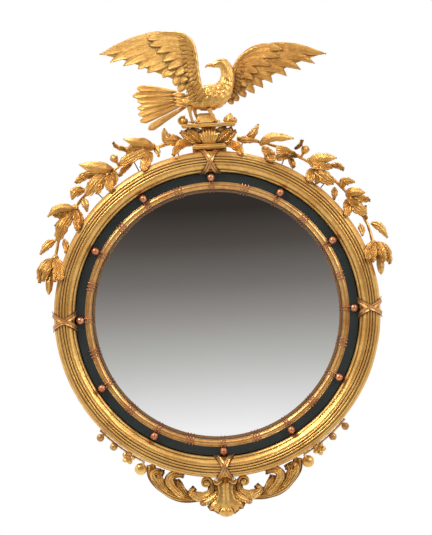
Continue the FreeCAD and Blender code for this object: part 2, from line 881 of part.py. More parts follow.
def build_carcase():
    """The turned pine ring that carries everything, with its rebates and screw holes."""
    ring = turned("carcase_turning", straight(
        (glass_bore, seat), (carcase_outer, seat), (carcase_outer, back), (board_bore, back),
        (board_bore, board_front), (glass_bore, board_front)))
    tools = [backboard_screws("carcase_board_holes", size("hole_fit"))]
    tools += hanger_screw_holes("carcase_hanger_hole", size("hole_fit"),
                                back + size("hanger_screw_length"))
    spots = iron_spots()
    tools += iron_screw_holes("carcase_iron_hole", spots[:2] + spots[4:6])
    for side in (-1, 1):
        for angle in PIN_ANGLES:
            tools.append(rod_radial(f"pin_hole_{side + 1}_{angle}",
                                    size("pin_radius") + size("hole_fit"), side * angle,
                                    carcase_outer - size("pin_hold"), rim, size("stem_depth")))
    keep(cut_away("carcase_cut", ring, joined("carcase_tools", tools)), "carcase_ring")

    board = turned("board_turning", straight(
        (0, back), (size("board_radius"), back), (size("board_radius"), board_front),
        (0, board_front)))
    keep(cut_away("board_cut", board, backboard_screws("board_holes", size("hole_fit"))),
         "backboard")
    keep(backboard_screws("board_screws", 0), "backboard_screws")


PAD_ANGLES = (65, 140, 220, 295)


def build_pads():
    """Cork pads that keep the back off the wall."""
    circle = (board_bore + carcase_outer) / 2
    pads = []
    for angle in PAD_ANGLES:
        lean = math.radians(angle)
        pads.append(rod_forward(f"pad_{angle}", size("pad_radius"), circle * math.sin(lean),
                                circle * math.cos(lean), 0, back))
    keep(gathered("pad_set", pads), "wall_pads")


# ---- the crest under the bird


def build_crest():
    """The plinth on the ring, the corbel, its leaves, the ledge and what lies on it."""
    dowel = doc.addObject("Part::Cylinder", "perch_dowel_rod")
    bind(dowel, Radius=size("perch_dowel_radius"), Height=size("ledge_thickness") * 2
         + size("perch_dowel_rise"))
    set_place(dowel, -6, size("bird_depth"), corbel_top - size("ledge_thickness"))
    keep(dowel, "perch_dowel", cuts_later=True)

    half = size("plinth_half_width")
    stock = block("plinth_block", half * -1, half, back, size("plinth_depth"),
                  rim - size("plinth_overlap"), plinth_top)
    gap = size("ring_fit")
    behind = rod_forward("plinth_ring_back", carcase_outer + gap, 0, 0, 0, seat)
    over_ribbon = (rim + size("ribbon_lift") + size("ribbon_thickness") + size("ribbon_width") * 0.6
                   + ribbon_bow() + size("seat_gap"))
    before = rod_forward("plinth_ring_front", over_ribbon, 0, 0, seat - gap, seat * 3)
    holes = iron_screw_holes("plinth_iron_hole", iron_spots()[2:3])
    keep(cut_away("plinth_cut", stock, joined("plinth_tools", [behind, before] + holes)),
         "crest_plinth", cuts_later=True)

    corbel_back = -back.value
    foot = mm("corbel_foot_half_width")
    head = mm("corbel_head_half_width")
    low, high = plinth_top.value, corbel_top.value
    core = plate(line_edges([Vector(-foot, corbel_back, low), Vector(foot, corbel_back, low),
                             Vector(head, corbel_back, high), Vector(-head, corbel_back, high),
                             Vector(-foot, corbel_back, low)]), mm("corbel_depth") - back.value)
    ribs = []
    for share in (-0.8, -0.4, 0.0, 0.4, 0.8):
        ribs.append(rod(Vector(foot * share * 0.7, -mm("corbel_depth") + 1, low + 1),
                        Vector(head * share, -mm("corbel_depth") - 1, high - 1), 2.2, 4.2))
    hole = rod(Vector(0, -back.value + 1, plinth_top.value + 14),
               Vector(0, -back.value - mm("board_screw_length"), plinth_top.value + 14),
               mm("board_screw_radius") + mm("hole_fit"))
    carve("crest_corbel", [core.multiFuse(ribs).cut(hole)])

    ledge = block("ledge_block", size("ledge_half_width") * -1, size("ledge_half_width"), back,
                  back + size("ledge_depth"), corbel_top, ledge_top)
    doc.recompute()
    rounded = doc.addObject("Part::Fillet", "ledge_rounded")
    rounded.Base = ledge
    uprights = [index for index, edge in enumerate(ledge.Shape.Edges, start=1)
                if abs(edge.tangentAt(edge.FirstParameter).z) > 0.9]
    rounded.Edges = [(index, mm("ledge_round"), mm("ledge_round")) for index in uprights]
    doc.recompute()
    keep(cut_away("ledge_cut", rounded, dowel), "crest_ledge", cuts_later=True)

    outline = [perch_point(x, rise, mm("bird_depth") - mm("mound_depth") / 2) for x, rise in (
        (-34, 0), (27, 0), (23, 11), (12, 19), (0, mm("mound_height")), (-16, mm("mound_height")),
        (-28, 16), (-34, 0))]
    carve("crest_mound", [plate(line_edges(outline), mm("mound_depth"))])

    roll_end = rod(perch_point(-55, 9, 14), perch_point(-55, 9, 52), 9.2)
    carve("ledge_scroll_end", [roll_end])
    tip = blade([perch_point(48, -1, 34), perch_point(51, 9, 40), perch_point(46, 21, 44)],
                [16, 23, 15, 4], 9)
    carve("ledge_leaf_tip", [tip])


CORBEL_LEAVES = {
    # from the corbel's foot: (angle, out, depth) of the base, middle and tip, then the width
    "left": (((-3.2, 20, 36), (-6.5, 36, 44), (-8.9, 52, 50), 24),
             ((-4.6, 18, 30), (-8.0, 28, 36), (-10.6, 37, 36), 20),
             ((-8.6, 31, 34), (-11.6, 16, 46), (-14.2, -2, 52), 21)),
    "right": (((3.2, 20, 36), (5.8, 36, 44), (8.2, 50, 50), 24),
              ((4.6, 18, 30), (8.0, 28, 36), (10.4, 37, 36), 20),
              ((8.6, 31, 34), (11.2, 16, 46), (11.4, -3, 52), 21)),
}


def build_corbel_leaves():
    """The curling leaves at each side of the corbel, one of them reaching down to the roll."""
    for word, rows in CORBEL_LEAVES.items():
        shapes = []
        for base, middle, tip, width in rows:
            shapes.append(blade([rim_point(*base), rim_point(*middle), rim_point(*tip)],
                                [width * 0.5, width, width * 0.8, width * 0.25],
                                mm("leaf_thickness") * 1.6))
        carve(f"corbel_leaves_{word}", shapes, over_roll=True)


# ---- the bird


def build_bird():
    """The eagle: body with neck and head, legs, tail and two wings on dowels."""
    depth = mm("bird_depth")
    body_line = ((-62, 49, 9), (-40, 52, 18), (-12, 54, 29), (18, 58, 27.5), (38, 72, 21),
                 (47, 96, 16.5), (46, 116, 14.5), (41, 128, 12))
    centres = [Vector(x, 0, ledge_top.value + rise) for x, rise, _ in body_line]
    spine = Part.BSplineCurve()
    spine.interpolate(centres)
    rings = []
    for centre, (_, _, radius) in zip(centres, body_line):
        way = spine.tangent(spine.parameter(centre))[0]
        rings.append(Part.Wire([Part.Circle(centre, way, radius).toShape()]))
    trunk = Part.makeLoft(rings, True, False)
    head = ball(Vector(40, 0, ledge_top.value + 130), 12.8)
    brow = rod(Vector(32, 0, ledge_top.value + 130), Vector(17, 0, ledge_top.value + 126), 9.5, 5.2)
    beak = bent_cone([Vector(18, 0, ledge_top.value + 126.5), Vector(7, 0, ledge_top.value + 127),
                      Vector(-2, 0, ledge_top.value + 122)], 5, 1)
    flatten = FreeCAD.Matrix()
    flatten.A22 = mm("bird_flatness")
    whole = trunk.multiFuse([head, brow, beak])
    whole = solids_of(whole)[0].transformGeometry(flatten)
    whole.translate(Vector(0, -depth, 0))
    carve("eagle_body", [whole])

    legs = []
    for hip, ankle in (((-38, 42), (-34, 2)), ((4, 32), (18, 2))):
        top = perch_point(hip[0], hip[1])
        foot = perch_point(ankle[0], ankle[1])
        limb = rod(top, foot, mm("leg_radius") * 1.5, mm("leg_radius"))
        toes = [rod(foot, perch_point(ankle[0] + x, 1.6, depth + forward), mm("toe_radius"),
                    mm("toe_radius") * 0.6)
                for x, forward in ((-9, 9), (0, 13), (9, 9), (0, -11))]
        legs.append(solids_of(limb.multiFuse(toes + [ball(foot, mm("leg_radius"))]))[0])
    carve("eagle_legs", legs, separate=True)
    build_tail()
    build_wing("left")
    build_wing("right")


def bent_cone(points, start_radius, end_radius):
    """A tapering hook along the arc through three points."""
    curve = Part.Arc(*points)
    first, last = curve.FirstParameter, curve.LastParameter
    rings = []
    for step in range(4):
        at = first + (last - first) * step / 3
        radius = start_radius + (end_radius - start_radius) * step / 3
        rings.append(Part.Wire([Part.Circle(curve.value(at), curve.tangent(at)[0], radius).toShape()]))
    return Part.makeLoft(rings, True, False)


TAIL_FANS = {
    # (share of the tail's reach from its root, height over the ledge) round each fan
    "upper": ((0.0, 64), (0.15, 79), (0.91, 85), (0.82, 75), (1.0, 68), (0.91, 56), (0.85, 43),
              (0.3, 52), (0.0, 50)),
    "lower": ((0.0, 56), (0.3, 50), (0.85, 42.5), (0.92, 41), (0.91, 26), (0.82, 23), (0.88, 10),
              (0.70, 9), (0.73, -8), (0.24, 22), (0.0, 36)),
}


def build_tail():
    """The tail: two fans of long feathers, one over the other."""
    depth = mm("bird_depth")
    shapes = []
    for index, rows in enumerate(TAIL_FANS.values()):
        fan_depth = depth + mm("tail_thickness") * (index * 0.8 - 1)
        points = [perch_point(-mm("tail_root") - share * mm("tail_reach"), rise, fan_depth)
                  for share, rise in rows]
        shapes.append(plate(line_edges(points + points[:1]), mm("tail_thickness")))
    carve("eagle_tail", shapes)


WINGS = {
    # Outlines as (share of the wing's reach from its root, height over the ledge).
    "left": {
        "root": -17, "reach": "near_wing_reach", "way": -1, "depth": 54,
        "lead": ((0.0, 95), (0.005, 150), (0.03, 182), (0.10, 196), (0.20, 203), (0.33, 205.4),
                 (0.48, 202), (0.66, 193), (0.80, 184), (0.915, 172), (0.995, 157)),
        "trail": ((0.88, 152), (0.893, 138), (0.765, 140), (0.762, 130), (0.62, 135), (0.617, 122),
                  (0.505, 123), (0.523, 113), (0.37, 112), (0.37, 101), (0.25, 98), (0.243, 82),
                  (0.215, 68), (0.15, 50), (0.02, 52)),
        "coverts": ((0.505, 188), (0.43, 161), (0.35, 141), (0.285, 125), (0.24, 112), (0.2, 68),
                    (0.13, 54), (0.03, 56)),
        "lead_stop": 7,
    },
    "right": {
        "root": 42, "reach": "far_wing_reach", "way": 1, "depth": 16,
        "lead": ((0.06, 96), (0.094, 124), (0.125, 133), (0.174, 148), (0.241, 158), (0.321, 165),
                 (0.42, 170), (0.513, 172), (0.612, 171), (0.71, 167), (0.81, 160), (0.902, 151),
                 (1.0, 139)),
        "trail": ((0.87, 130), (0.888, 118), (0.719, 119), (0.75, 107), (0.616, 105),
                  (0.612, 95), (0.464, 90), (0.464, 82), (0.37, 80), (0.37, 72), (0.286, 70),
                  (0.286, 61), (0.196, 60), (0.196, 53), (0.125, 46), (0.067, 40), (0.0, 45)),
        "coverts": ((0.594, 163), (0.536, 138), (0.451, 126), (0.37, 108), (0.28, 96), (0.16, 60),
                    (0.04, 50)),
        "lead_stop": 8,
    },
}


def build_wing(word):
    """One wing in three steps: long feathers, the coverts over them, and the bone edge."""
    plan = WINGS[word]
    way = plan["way"]
    root = perch_point(plan["root"], 0, plan["depth"])
    sweep = math.radians(mm("wing_sweep_angle"))
    reach = mm(plan["reach"]) / math.cos(sweep)
    feather, covert = mm("feather_thickness"), mm("covert_thickness")

    def spot(share, rise, lift=0.0):
        """A point of the outline in the flat wing before it is swept forward."""
        return Vector(way * share * reach, -lift, rise)

    def shifted(rows, lift, inward):
        """Points along the leading edge, moved into the wing square to the edge."""
        rail = Part.BSplineCurve()
        points = [spot(share, rise, lift) for share, rise in rows]
        rail.interpolate(points)
        moved = []
        for point in points:
            ahead = rail.tangent(rail.parameter(point))[0]
            moved.append(point + Vector(way * ahead.z, 0, -way * ahead.x) * inward)
        return moved

    flights = plate([spline_edge(shifted(plan["lead"], 0, 0))] + line_edges(
        [spot(*plan["lead"][-1])] + [spot(*row) for row in plan["trail"]]
        + [spot(*plan["lead"][0])]), feather)
    lead = plan["lead"][:plan["lead_stop"]]
    step = mm("wing_edge_step")
    over = shifted(lead, feather, step)
    coverts = plate([spline_edge(over)] + line_edges(
        [over[-1]] + [spot(*row, feather) for row in plan["coverts"]] + [over[0]]), covert)
    outer = shifted(lead, feather + covert, step * 2)
    inner = shifted(lead, feather + covert, step * 2 + mm("wing_bone_width"))
    edge = plate([spline_edge(outer), Part.makeLine(outer[-1], inner[-1]), spline_edge(inner),
                  Part.makeLine(inner[0], outer[0])], covert)
    wing = flights.multiFuse([coverts, edge])
    wing.Placement = FreeCAD.Placement(
        root, Rotation(Vector(0, 0, 1), -way * mm("wing_sweep_angle")))
    carve(f"eagle_wing_{word}", [wing])


# ---- the sprays down the shoulders

FLOWERS = {
    # calyx (angle, out), then each petal's tip (angle, out, depth), width and arch
    "upper": ((18.5, 36), (((25.0, 79, 50), 24, 10), ((28.9, 62, 56), 26, 14),
                           ((30.0, 36, 58), 26, 14), ((24.4, -10, 74), 30, 16),
                           ((28.6, 80, 40), 15, 4))),
    "middle": ((33.9, 35), (((39.6, 86, 50), 26, 10), ((42.6, 68, 56), 26, 14),
                            ((44.4, 26, 58), 28, 14), ((40.6, -3, 72), 22, 16),
                            ((45.0, 63, 40), 16, 4))),
    "lower": ((50.4, 31), (((57.3, 70, 50), 22, 10), ((54.0, 64, 42), 18, 4),
                           ((61.6, 35, 58), 30, 14), ((57.1, -4, 72), 22, 16),
                           ((59.5, 52, 56), 22, 12))),
}
RIGHT_SHORTER = 0.9

LEAVES = {
    # base (angle, out, depth), tip (angle, out, depth), width
    "left": (((13.0, 31, 30), (13.5, 66, 42), 32), ((16.1, 31, 32), (18.2, 8, 46), 14),
             ((29.4, 31, 32), (33.0, 12, 44), 14), ((43.6, 31, 32), (47.6, 59, 42), 24),
             ((46.4, 31, 32), (49.6, 6, 46), 18)),
    "right": (((13.0, 31, 30), (14.9, 71, 42), 26), ((15.9, 31, 32), (15.2, 7, 46), 14),
              ((29.6, 31, 32), (30.2, 2, 50), 14), ((43.4, 31, 32), (48.6, 58, 42), 24),
              ((46.2, 31, 32), (48.6, -1, 52), 18)),
}
TAIL_START = 50.4
TAIL_BEND = (61.0, 26)
TAIL_END = (68.2, 17)
FORKED_LEAF = (((61.8, 26, 32), (68.7, 52, 42), 24), ((61.0, 26, 32), (65.6, 2, 54), 20))
BUD = (30.8, 50)
BELL_PETALS = (((75.2, 44, 44), 26, 4), ((77.2, 34, 52), 24, 10), ((76.2, 3, 62), 26, 14),
               ((75.0, -14, 70), 24, 10))
BELL_BUD = (77.6, 20, 56)


def build_spray(side, word):
    """One spray: its stem, three lilies, leaves, a bud and the hanging bellflower at its end."""
    out = mm("stem_offset")
    depth = mm("stem_depth")
    leaf = mm("leaf_thickness")
    thick = mm("petal_thickness")
    radius = mm("stem_radius")
    shorter = 1.0 if word == "left" else RIGHT_SHORTER

    def at(angle, away, deep):
        """A point of this side's spray."""
        return rim_point(side * angle, away, deep)

    start = 9.0
    main = bent_rod([at(start, out, depth), at((start + TAIL_START) / 2, out, depth),
                     at(TAIL_START, out, depth)], radius)
    tail = bent_rod([at(TAIL_START, out, depth), at(*TAIL_BEND, depth), at(*TAIL_END, depth + 6)],
                    radius)
    carve(f"spray_stem_{word}", [main, tail, ball(at(TAIL_START, out, depth), radius * 1.15)])

    for name, (calyx, petals) in FLOWERS.items():
        heart = at(*calyx, depth + 4)
        shapes = [ball(heart, mm("calyx_radius"))]
        for (angle, away, deep), width, arch in petals:
            reach = out + (away - out) * shorter
            shapes.append(petal(heart, at(angle, reach, deep), width, thick, arch))
        carve(f"lily_{name}_{word}", shapes, over_roll=True)

    bell_root = at(*TAIL_END, depth + 6)
    shapes = [ball(bell_root, mm("calyx_radius"))]
    for (angle, away, deep), width, arch in BELL_PETALS:
        shapes.append(petal(bell_root, at(angle, away * shorter, deep), width, thick, arch))
    heart = at(BELL_BUD[0], BELL_BUD[1] * shorter, BELL_BUD[2])
    shapes.append(rod(bell_root, heart, 5, 9))
    shapes.append(ball(heart, 10))
    carve(f"bellflower_{word}", shapes, over_roll=True)

    stalk = rod(at(BUD[0], out, depth), at(*BUD, depth + 8), radius * 0.7)
    carve(f"spray_bud_{word}", [stalk, ball(at(*BUD, depth + 8), mm("bud_radius"))])

    shapes = [petal(at(*base), at(*tip), width, leaf, 4) for base, tip, width in LEAVES[word]]
    fork = [petal(at(*base), at(*tip), width, leaf, 4) for base, tip, width in FORKED_LEAF]
    carve(f"spray_leaves_{word}", shapes + [fork[0].fuse(fork[1])], separate=True, over_roll=True)


# ---- the apron

SCROLL_SPINE = ((-175.4, 24), (-173.6, 39), (-170.0, 45), (-166.0, 46), (-161.5, 41), (-157.4, 29),
                (-154.4, 14), (-152.9, 1))
SCROLL_WIDTHS = (15, 17, 18, 22, 25, 24, 20, 8)
SCROLL_LOBES = (
    (((-161.0, 42), (-158.8, 22), (-162.0, 5), (-165.4, 1)), (18, 18, 16, 7)),
    (((-164.0, 46), (-163.4, 30), (-162.6, 16)), (16, 14, 5)),
    (((-168.2, 46), (-168.8, 32), (-170.0, 20)), (17, 15, 6)),
)
SCROLL_VOLUTE = (-173.4, 10.5)
APRON_BERRIES = ((133.9, 0), (139.3, 4))
APRON_ROSETTE = (145.5, 10)
APRON_BALL = (151.0, 20)


def build_cartouche():
    """The shield-like centre of the apron."""
    low = back.value
    half = [(20, -3), (27, 8), (30, 18), (25, 34), (27, 44), (44, 45), (57, 52), (52, 62),
            (36, 70), (24, 66)]
    right = [foot_point(x, drop, low) for x, drop in half]
    left = [foot_point(-x, drop, low) for x, drop in reversed(half)]
    bottom = Part.Arc(right[-1], foot_point(0, 86, low), left[0]).toShape()
    edges = line_edges(right) + [bottom] + line_edges(left) + [Part.makeLine(left[-1], right[0])]
    board = plate(edges, mm("cartouche_depth"))
    boss = plate(edges, mm("cartouche_boss"))
    shrink = FreeCAD.Matrix()
    shrink.A11 = shrink.A33 = 0.68
    boss = boss.transformGeometry(shrink)
    boss.translate(Vector(0, -mm("cartouche_depth") + 0.5, foot_point(0, 40).z * (1 - 0.68)))
    shape = board.fuse(boss)
    for spot in iron_spots()[6:]:
        hole = rod(Vector(0, -back.value + 1, spot.value),
                   Vector(0, -back.value - mm("board_screw_length"), spot.value),
                   mm("board_screw_radius") + mm("hole_fit"))
        shape = shape.cut(hole)
    carve("apron_cartouche", [shape], over_roll=True)


def build_apron_side(side, word):
    """One side of the apron: the acanthus scroll, and the berries on their twig."""
    depth = mm("scroll_depth")

    def at(angle, out, deep=depth):
        """A point of this side, from angles given for the left."""
        return rim_point(-side * angle, out, deep)

    main = blade([at(*spot) for spot in SCROLL_SPINE], SCROLL_WIDTHS, mm("scroll_thickness"))
    lobes = [blade([at(*spot) for spot in spots], widths, mm("scroll_thickness") * 0.8)
             for spots, widths in SCROLL_LOBES]
    volute = rod(at(*SCROLL_VOLUTE, depth - 13), at(*SCROLL_VOLUTE, depth + 19), mm("volute_radius"))
    carve(f"apron_scroll_{word}", [main, volute] + lobes, over_roll=True)

    twig_out = mm("twig_radius") - 0.2
    ends = (-132.0, -141.5, -151.0)
    twig = bent_rod([at(angle, twig_out, mm("twig_depth")) for angle in ends], mm("twig_radius"))
    stalk = rod(at(ends[-1], twig_out, mm("twig_depth")),
                at(-APRON_BALL[0], APRON_BALL[1], mm("twig_depth")), mm("twig_radius"))
    carve(f"apron_twig_{word}", [twig, stalk], over_roll=True)

    radius = mm("berry_radius")
    seated = twig_out + mm("twig_radius") + mm("seat_gap") + radius
    shapes = [ball(at(-angle, seated - sunk, mm("twig_depth") + 1), radius) for angle, sunk in APRON_BERRIES]
    heart = at(-APRON_ROSETTE[0], APRON_ROSETTE[1], mm("twig_depth") + 2)
    rosette = ball(heart, 7)
    for turn in range(5):
        lean = math.radians(72 * turn + 20)
        tip = heart + Vector(16 * math.sin(lean), -3, 16 * math.cos(lean))
        rosette = rosette.fuse(petal(heart, tip, 13, 5, 3))
    shapes.append(rosette)
    shapes.append(ball(at(-APRON_BALL[0], APRON_BALL[1], mm("twig_depth") - 6),
                       mm("apron_ball_radius")))
    carve(f"apron_berries_{word}", shapes, separate=True, over_roll=True)


# ---- making everything, checking it and writing it out


def build_all():
    """Every piece in the order in which it would be laid up on the bench."""
    build_ring()
    build_slip_ties()
    build_ribbons()
    build_glass()
    build_carcase()
    build_hangers()
    build_irons()
    build_pads()
    build_pins()
    build_crest()
    build_corbel_leaves()
    build_bird()
    for side, word in ((-1, "left"), (1, "right")):
        build_spray(side, word)
    build_cartouche()
    for side, word in ((-1, "left"), (1, "right")):
        build_apron_side(side, word)


def check_all():
    """Stop if an object failed or a piece is empty, broken or named twice."""
    doc.recompute()
    for obj in doc.Objects:
        if "Invalid" in obj.State or "Error" in obj.State:
            raise ValueError(f"{obj.Label} failed: {obj.State}")
    labels = [obj.Label for obj in nodes]
    if len(set(labels)) != len(labels):
        raise ValueError("two pieces share a name")
    for obj in nodes:
        if obj.Shape.isNull() or not obj.Shape.isValid() or not obj.Shape.Solids:
            raise ValueError(f"{obj.Label} has no valid solid")


def write_all():
    """Write each piece to its own file."""
    os.makedirs("parts", exist_ok=True)
    for obj in nodes:
        obj.Shape.exportStep(os.path.join("parts", obj.Label + ".step"))
    print(f"{len(nodes)} pieces written")


build_all()
check_all()
write_all()
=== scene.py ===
"""Dresses the girandole mirror: its reeded ring, convex plate, eagle crest, flower sprays and apron.

Sizes are in millimetres until a mesh is made. X runs to the right and Z up from the ring's centre,
and a depth is a distance forward from the wall, which is the way of -Y.
"""

from __future__ import annotations

import logging
import math
from dataclasses import dataclass
from enum import Enum
from typing import Any, Callable, Sequence

import bpy
import numpy as np
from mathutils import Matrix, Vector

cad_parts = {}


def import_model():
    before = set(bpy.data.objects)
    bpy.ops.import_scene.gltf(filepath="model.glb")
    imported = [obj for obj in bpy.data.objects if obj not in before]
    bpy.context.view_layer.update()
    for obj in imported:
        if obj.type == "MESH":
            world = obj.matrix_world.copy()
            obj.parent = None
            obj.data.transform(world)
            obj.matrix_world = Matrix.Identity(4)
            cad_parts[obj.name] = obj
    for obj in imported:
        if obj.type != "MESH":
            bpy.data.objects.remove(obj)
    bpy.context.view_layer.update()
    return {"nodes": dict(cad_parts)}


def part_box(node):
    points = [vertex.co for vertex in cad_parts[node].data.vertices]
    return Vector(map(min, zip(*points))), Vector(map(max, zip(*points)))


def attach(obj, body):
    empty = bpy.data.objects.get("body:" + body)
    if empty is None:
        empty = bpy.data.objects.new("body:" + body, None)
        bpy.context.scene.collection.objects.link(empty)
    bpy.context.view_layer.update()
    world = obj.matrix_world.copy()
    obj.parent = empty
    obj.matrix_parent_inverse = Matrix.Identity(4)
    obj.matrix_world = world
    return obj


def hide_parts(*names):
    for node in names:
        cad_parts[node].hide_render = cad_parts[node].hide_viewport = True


LOG = logging.getLogger("girandole")
MM = 0.001
FORWARD = (0.0, -1.0, 0.0)
UPWARD = (0.0, 0.0, 1.0)
MERGE_DISTANCE = 0.000002
MIRROR_BODY = "mirror"
BLADE_POINTS = 60
TUBE_POINTS = 80

Stops = Sequence[tuple[float, float]]


# ---- places on the object


def place(x: float, depth: float, z: float) -> np.ndarray:
    """Returns a point from its X, its depth before the wall and its Z."""
    return np.array((x, -depth, z), float)


def line(*spots: tuple[float, float, float]) -> list[np.ndarray]:
    """Returns points from their X, depth and Z."""
    return [place(*spot) for spot in spots]


def at_rim(angle: float, out: float, depth: float) -> np.ndarray:
    """Finds a point beside the ring's rim.

    Args:
        angle: Degrees from the top, positive to the right.
        out: Distance outside the rim, mm.
        depth: Distance before the wall, mm.

    Returns:
        The point.
    """
    lean = math.radians(angle)
    radius = Ring.RIM + out
    return place(radius * math.sin(lean), depth, radius * math.cos(lean))


def through(points: Sequence[np.ndarray], count: int) -> np.ndarray:
    """Finds even points on a smooth curve through a few given ones.

    Args:
        points: The points that the curve passes.
        count: How many points to return.

    Returns:
        An array of count rows.
    """
    knots = np.asarray(points, float)
    padded = np.vstack([2 * knots[0] - knots[1], knots, 2 * knots[-1] - knots[-2]])
    share = np.linspace(0, 1, 20, endpoint=False)[:, None]
    runs = []
    for index in range(len(knots) - 1):
        before, start, end, after = padded[index:index + 4]
        runs.append(0.5 * (2 * start + (end - before) * share
                           + (2 * before - 5 * start + 4 * end - after) * share ** 2
                           + (3 * start - before - 3 * end + after) * share ** 3))
    dense = np.vstack(runs + [knots[-1:]])
    walked = np.r_[0, np.cumsum(np.linalg.norm(np.diff(dense, axis=0), axis=1))]
    even = np.linspace(0, walked[-1], count)
    return np.column_stack([np.interp(even, walked, dense[:, axis]) for axis in range(3)])


def along_stops(stops: Stops, share: np.ndarray) -> np.ndarray:
    """Reads a value that is given at a few shares of a length."""
    places, values = zip(*stops)
    return np.interp(share, places, values)


def units(vectors: np.ndarray) -> np.ndarray:
    """Scales each row to a length of 1."""
    return vectors / np.maximum(np.linalg.norm(vectors, axis=1), 1e-9)[:, None]


def read(rows: np.ndarray, share: np.ndarray) -> np.ndarray:
    """Reads evenly spread rows at shares of their run."""
    stations = np.linspace(0, 1, len(rows))
    return np.column_stack([np.interp(share, stations, rows[:, axis]) for axis in range(3)])


def wander(first: np.ndarray, second: np.ndarray, seed: float = 0.0) -> np.ndarray:
    """A smooth uneven value between about -1 and 1, as a hand's tremor along two coordinates."""
    return (np.sin(first * 1.0 + seed) * np.cos(second * 1.7 + seed * 1.3)
            + 0.6 * np.sin(first * 2.3 + second * 1.1 + seed * 2.1)
            + 0.4 * np.cos(first * 4.1 - second * 2.9 + seed * 0.7)) / 2.0


# ---- modelling


@dataclass(frozen=True)
class Relief:
    """How the face of a blade is carved, in mm over its flat surface.

    Attributes:
        arch: How far the middle stands over the edges.
        midrib: Height of the rib down the middle.
        ribs: Number of flutes side by side.
        rib_height: Depth of those flutes.
        ruffle: How far the edges wave.
        ruffles: Waves along the length.
        barb_pitch: Distance between the fine slanting cuts.
        barb_lean: How far a cut runs along the blade for each step across it.
        tip_curl: How far the tip turns forward.
    """

    arch: float = 1.5
    midrib: float = 0.0
    ribs: float = 0.0
    rib_height: float = 0.0
    ruffle: float = 0.0
    ruffles: float = 2.0
    barb_pitch: float = 3.2
    barb_lean: float = 1.6
    tip_curl: float = 0.0

    MIDRIB_SPREAD = 0.14
    ROOT_RUN = 6
    TIP_RUN = 5

    def height(self, share: np.ndarray, aside: np.ndarray, thick: float) -> np.ndarray:
        """Works out how far the carved face stands forward.

        Args:
            share: Shares along the blade, from 0 at its root.
            aside: Places across it, from -1 to 1.
            thick: The blade's thickness, mm.

        Returns:
            The face's height in mm at each point.
        """
        fade = np.clip(share * self.ROOT_RUN, 0, 1) * np.clip((1 - share) * self.TIP_RUN, 0, 1)
        height = self.arch * (1 - aside ** 2) * (0.4 + 0.6 * fade)
        height += self.midrib * np.exp(-(aside / self.MIDRIB_SPREAD) ** 2) * (1 - share) ** 0.3
        if self.ribs:
            flute = 0.5 + 0.5 * np.cos(aside * math.pi * self.ribs)
            height += self.rib_height * (flute - 0.5) * (0.3 + 0.7 * fade)
        wave = np.sin(share * math.tau * self.ruffles + aside * 1.1)
        height += self.ruffle * aside ** 2 * wave * np.clip(share * 3, 0, 1)
        height += self.tip_curl * share ** 3
        height -= thick * 0.35 * np.abs(aside) ** 6
        return height


@dataclass(frozen=True)
class Rail:
    """A smooth line that a piece is carved along.

    Attributes:
        line: Even points of the line.
        sides: The way to the side at each point.
        fronts: The way to the front at each point.
    """

    line: np.ndarray
    sides: np.ndarray
    fronts: np.ndarray

    @classmethod
    def along(cls, spine: Sequence[np.ndarray], count: int, facing: Sequence[float]) -> "Rail":
        """Lays a rail through a spine.

        Args:
            spine: A few points that it passes.
            count: How many points it gets.
            facing: The way that its front looks.

        Returns:
            The rail.
        """
        line = through(spine, count)
        headings = units(np.gradient(line, axis=0))
        sides = units(np.cross(np.asarray(facing, float)[None, :], headings))
        return cls(line, sides, units(np.cross(headings, sides)))

    @property
    def length(self) -> float:
        """Returns the line's length, mm."""
        return float(np.linalg.norm(np.diff(self.line, axis=0), axis=1).sum())

    def beside(self, share: np.ndarray, aside: np.ndarray, forward: np.ndarray) -> np.ndarray:
        """Returns points beside and before the line, at shares of its length."""
        return (read(self.line, share) + read(self.sides, share) * aside[:, None]
                + read(self.fronts, share) * forward[:, None])


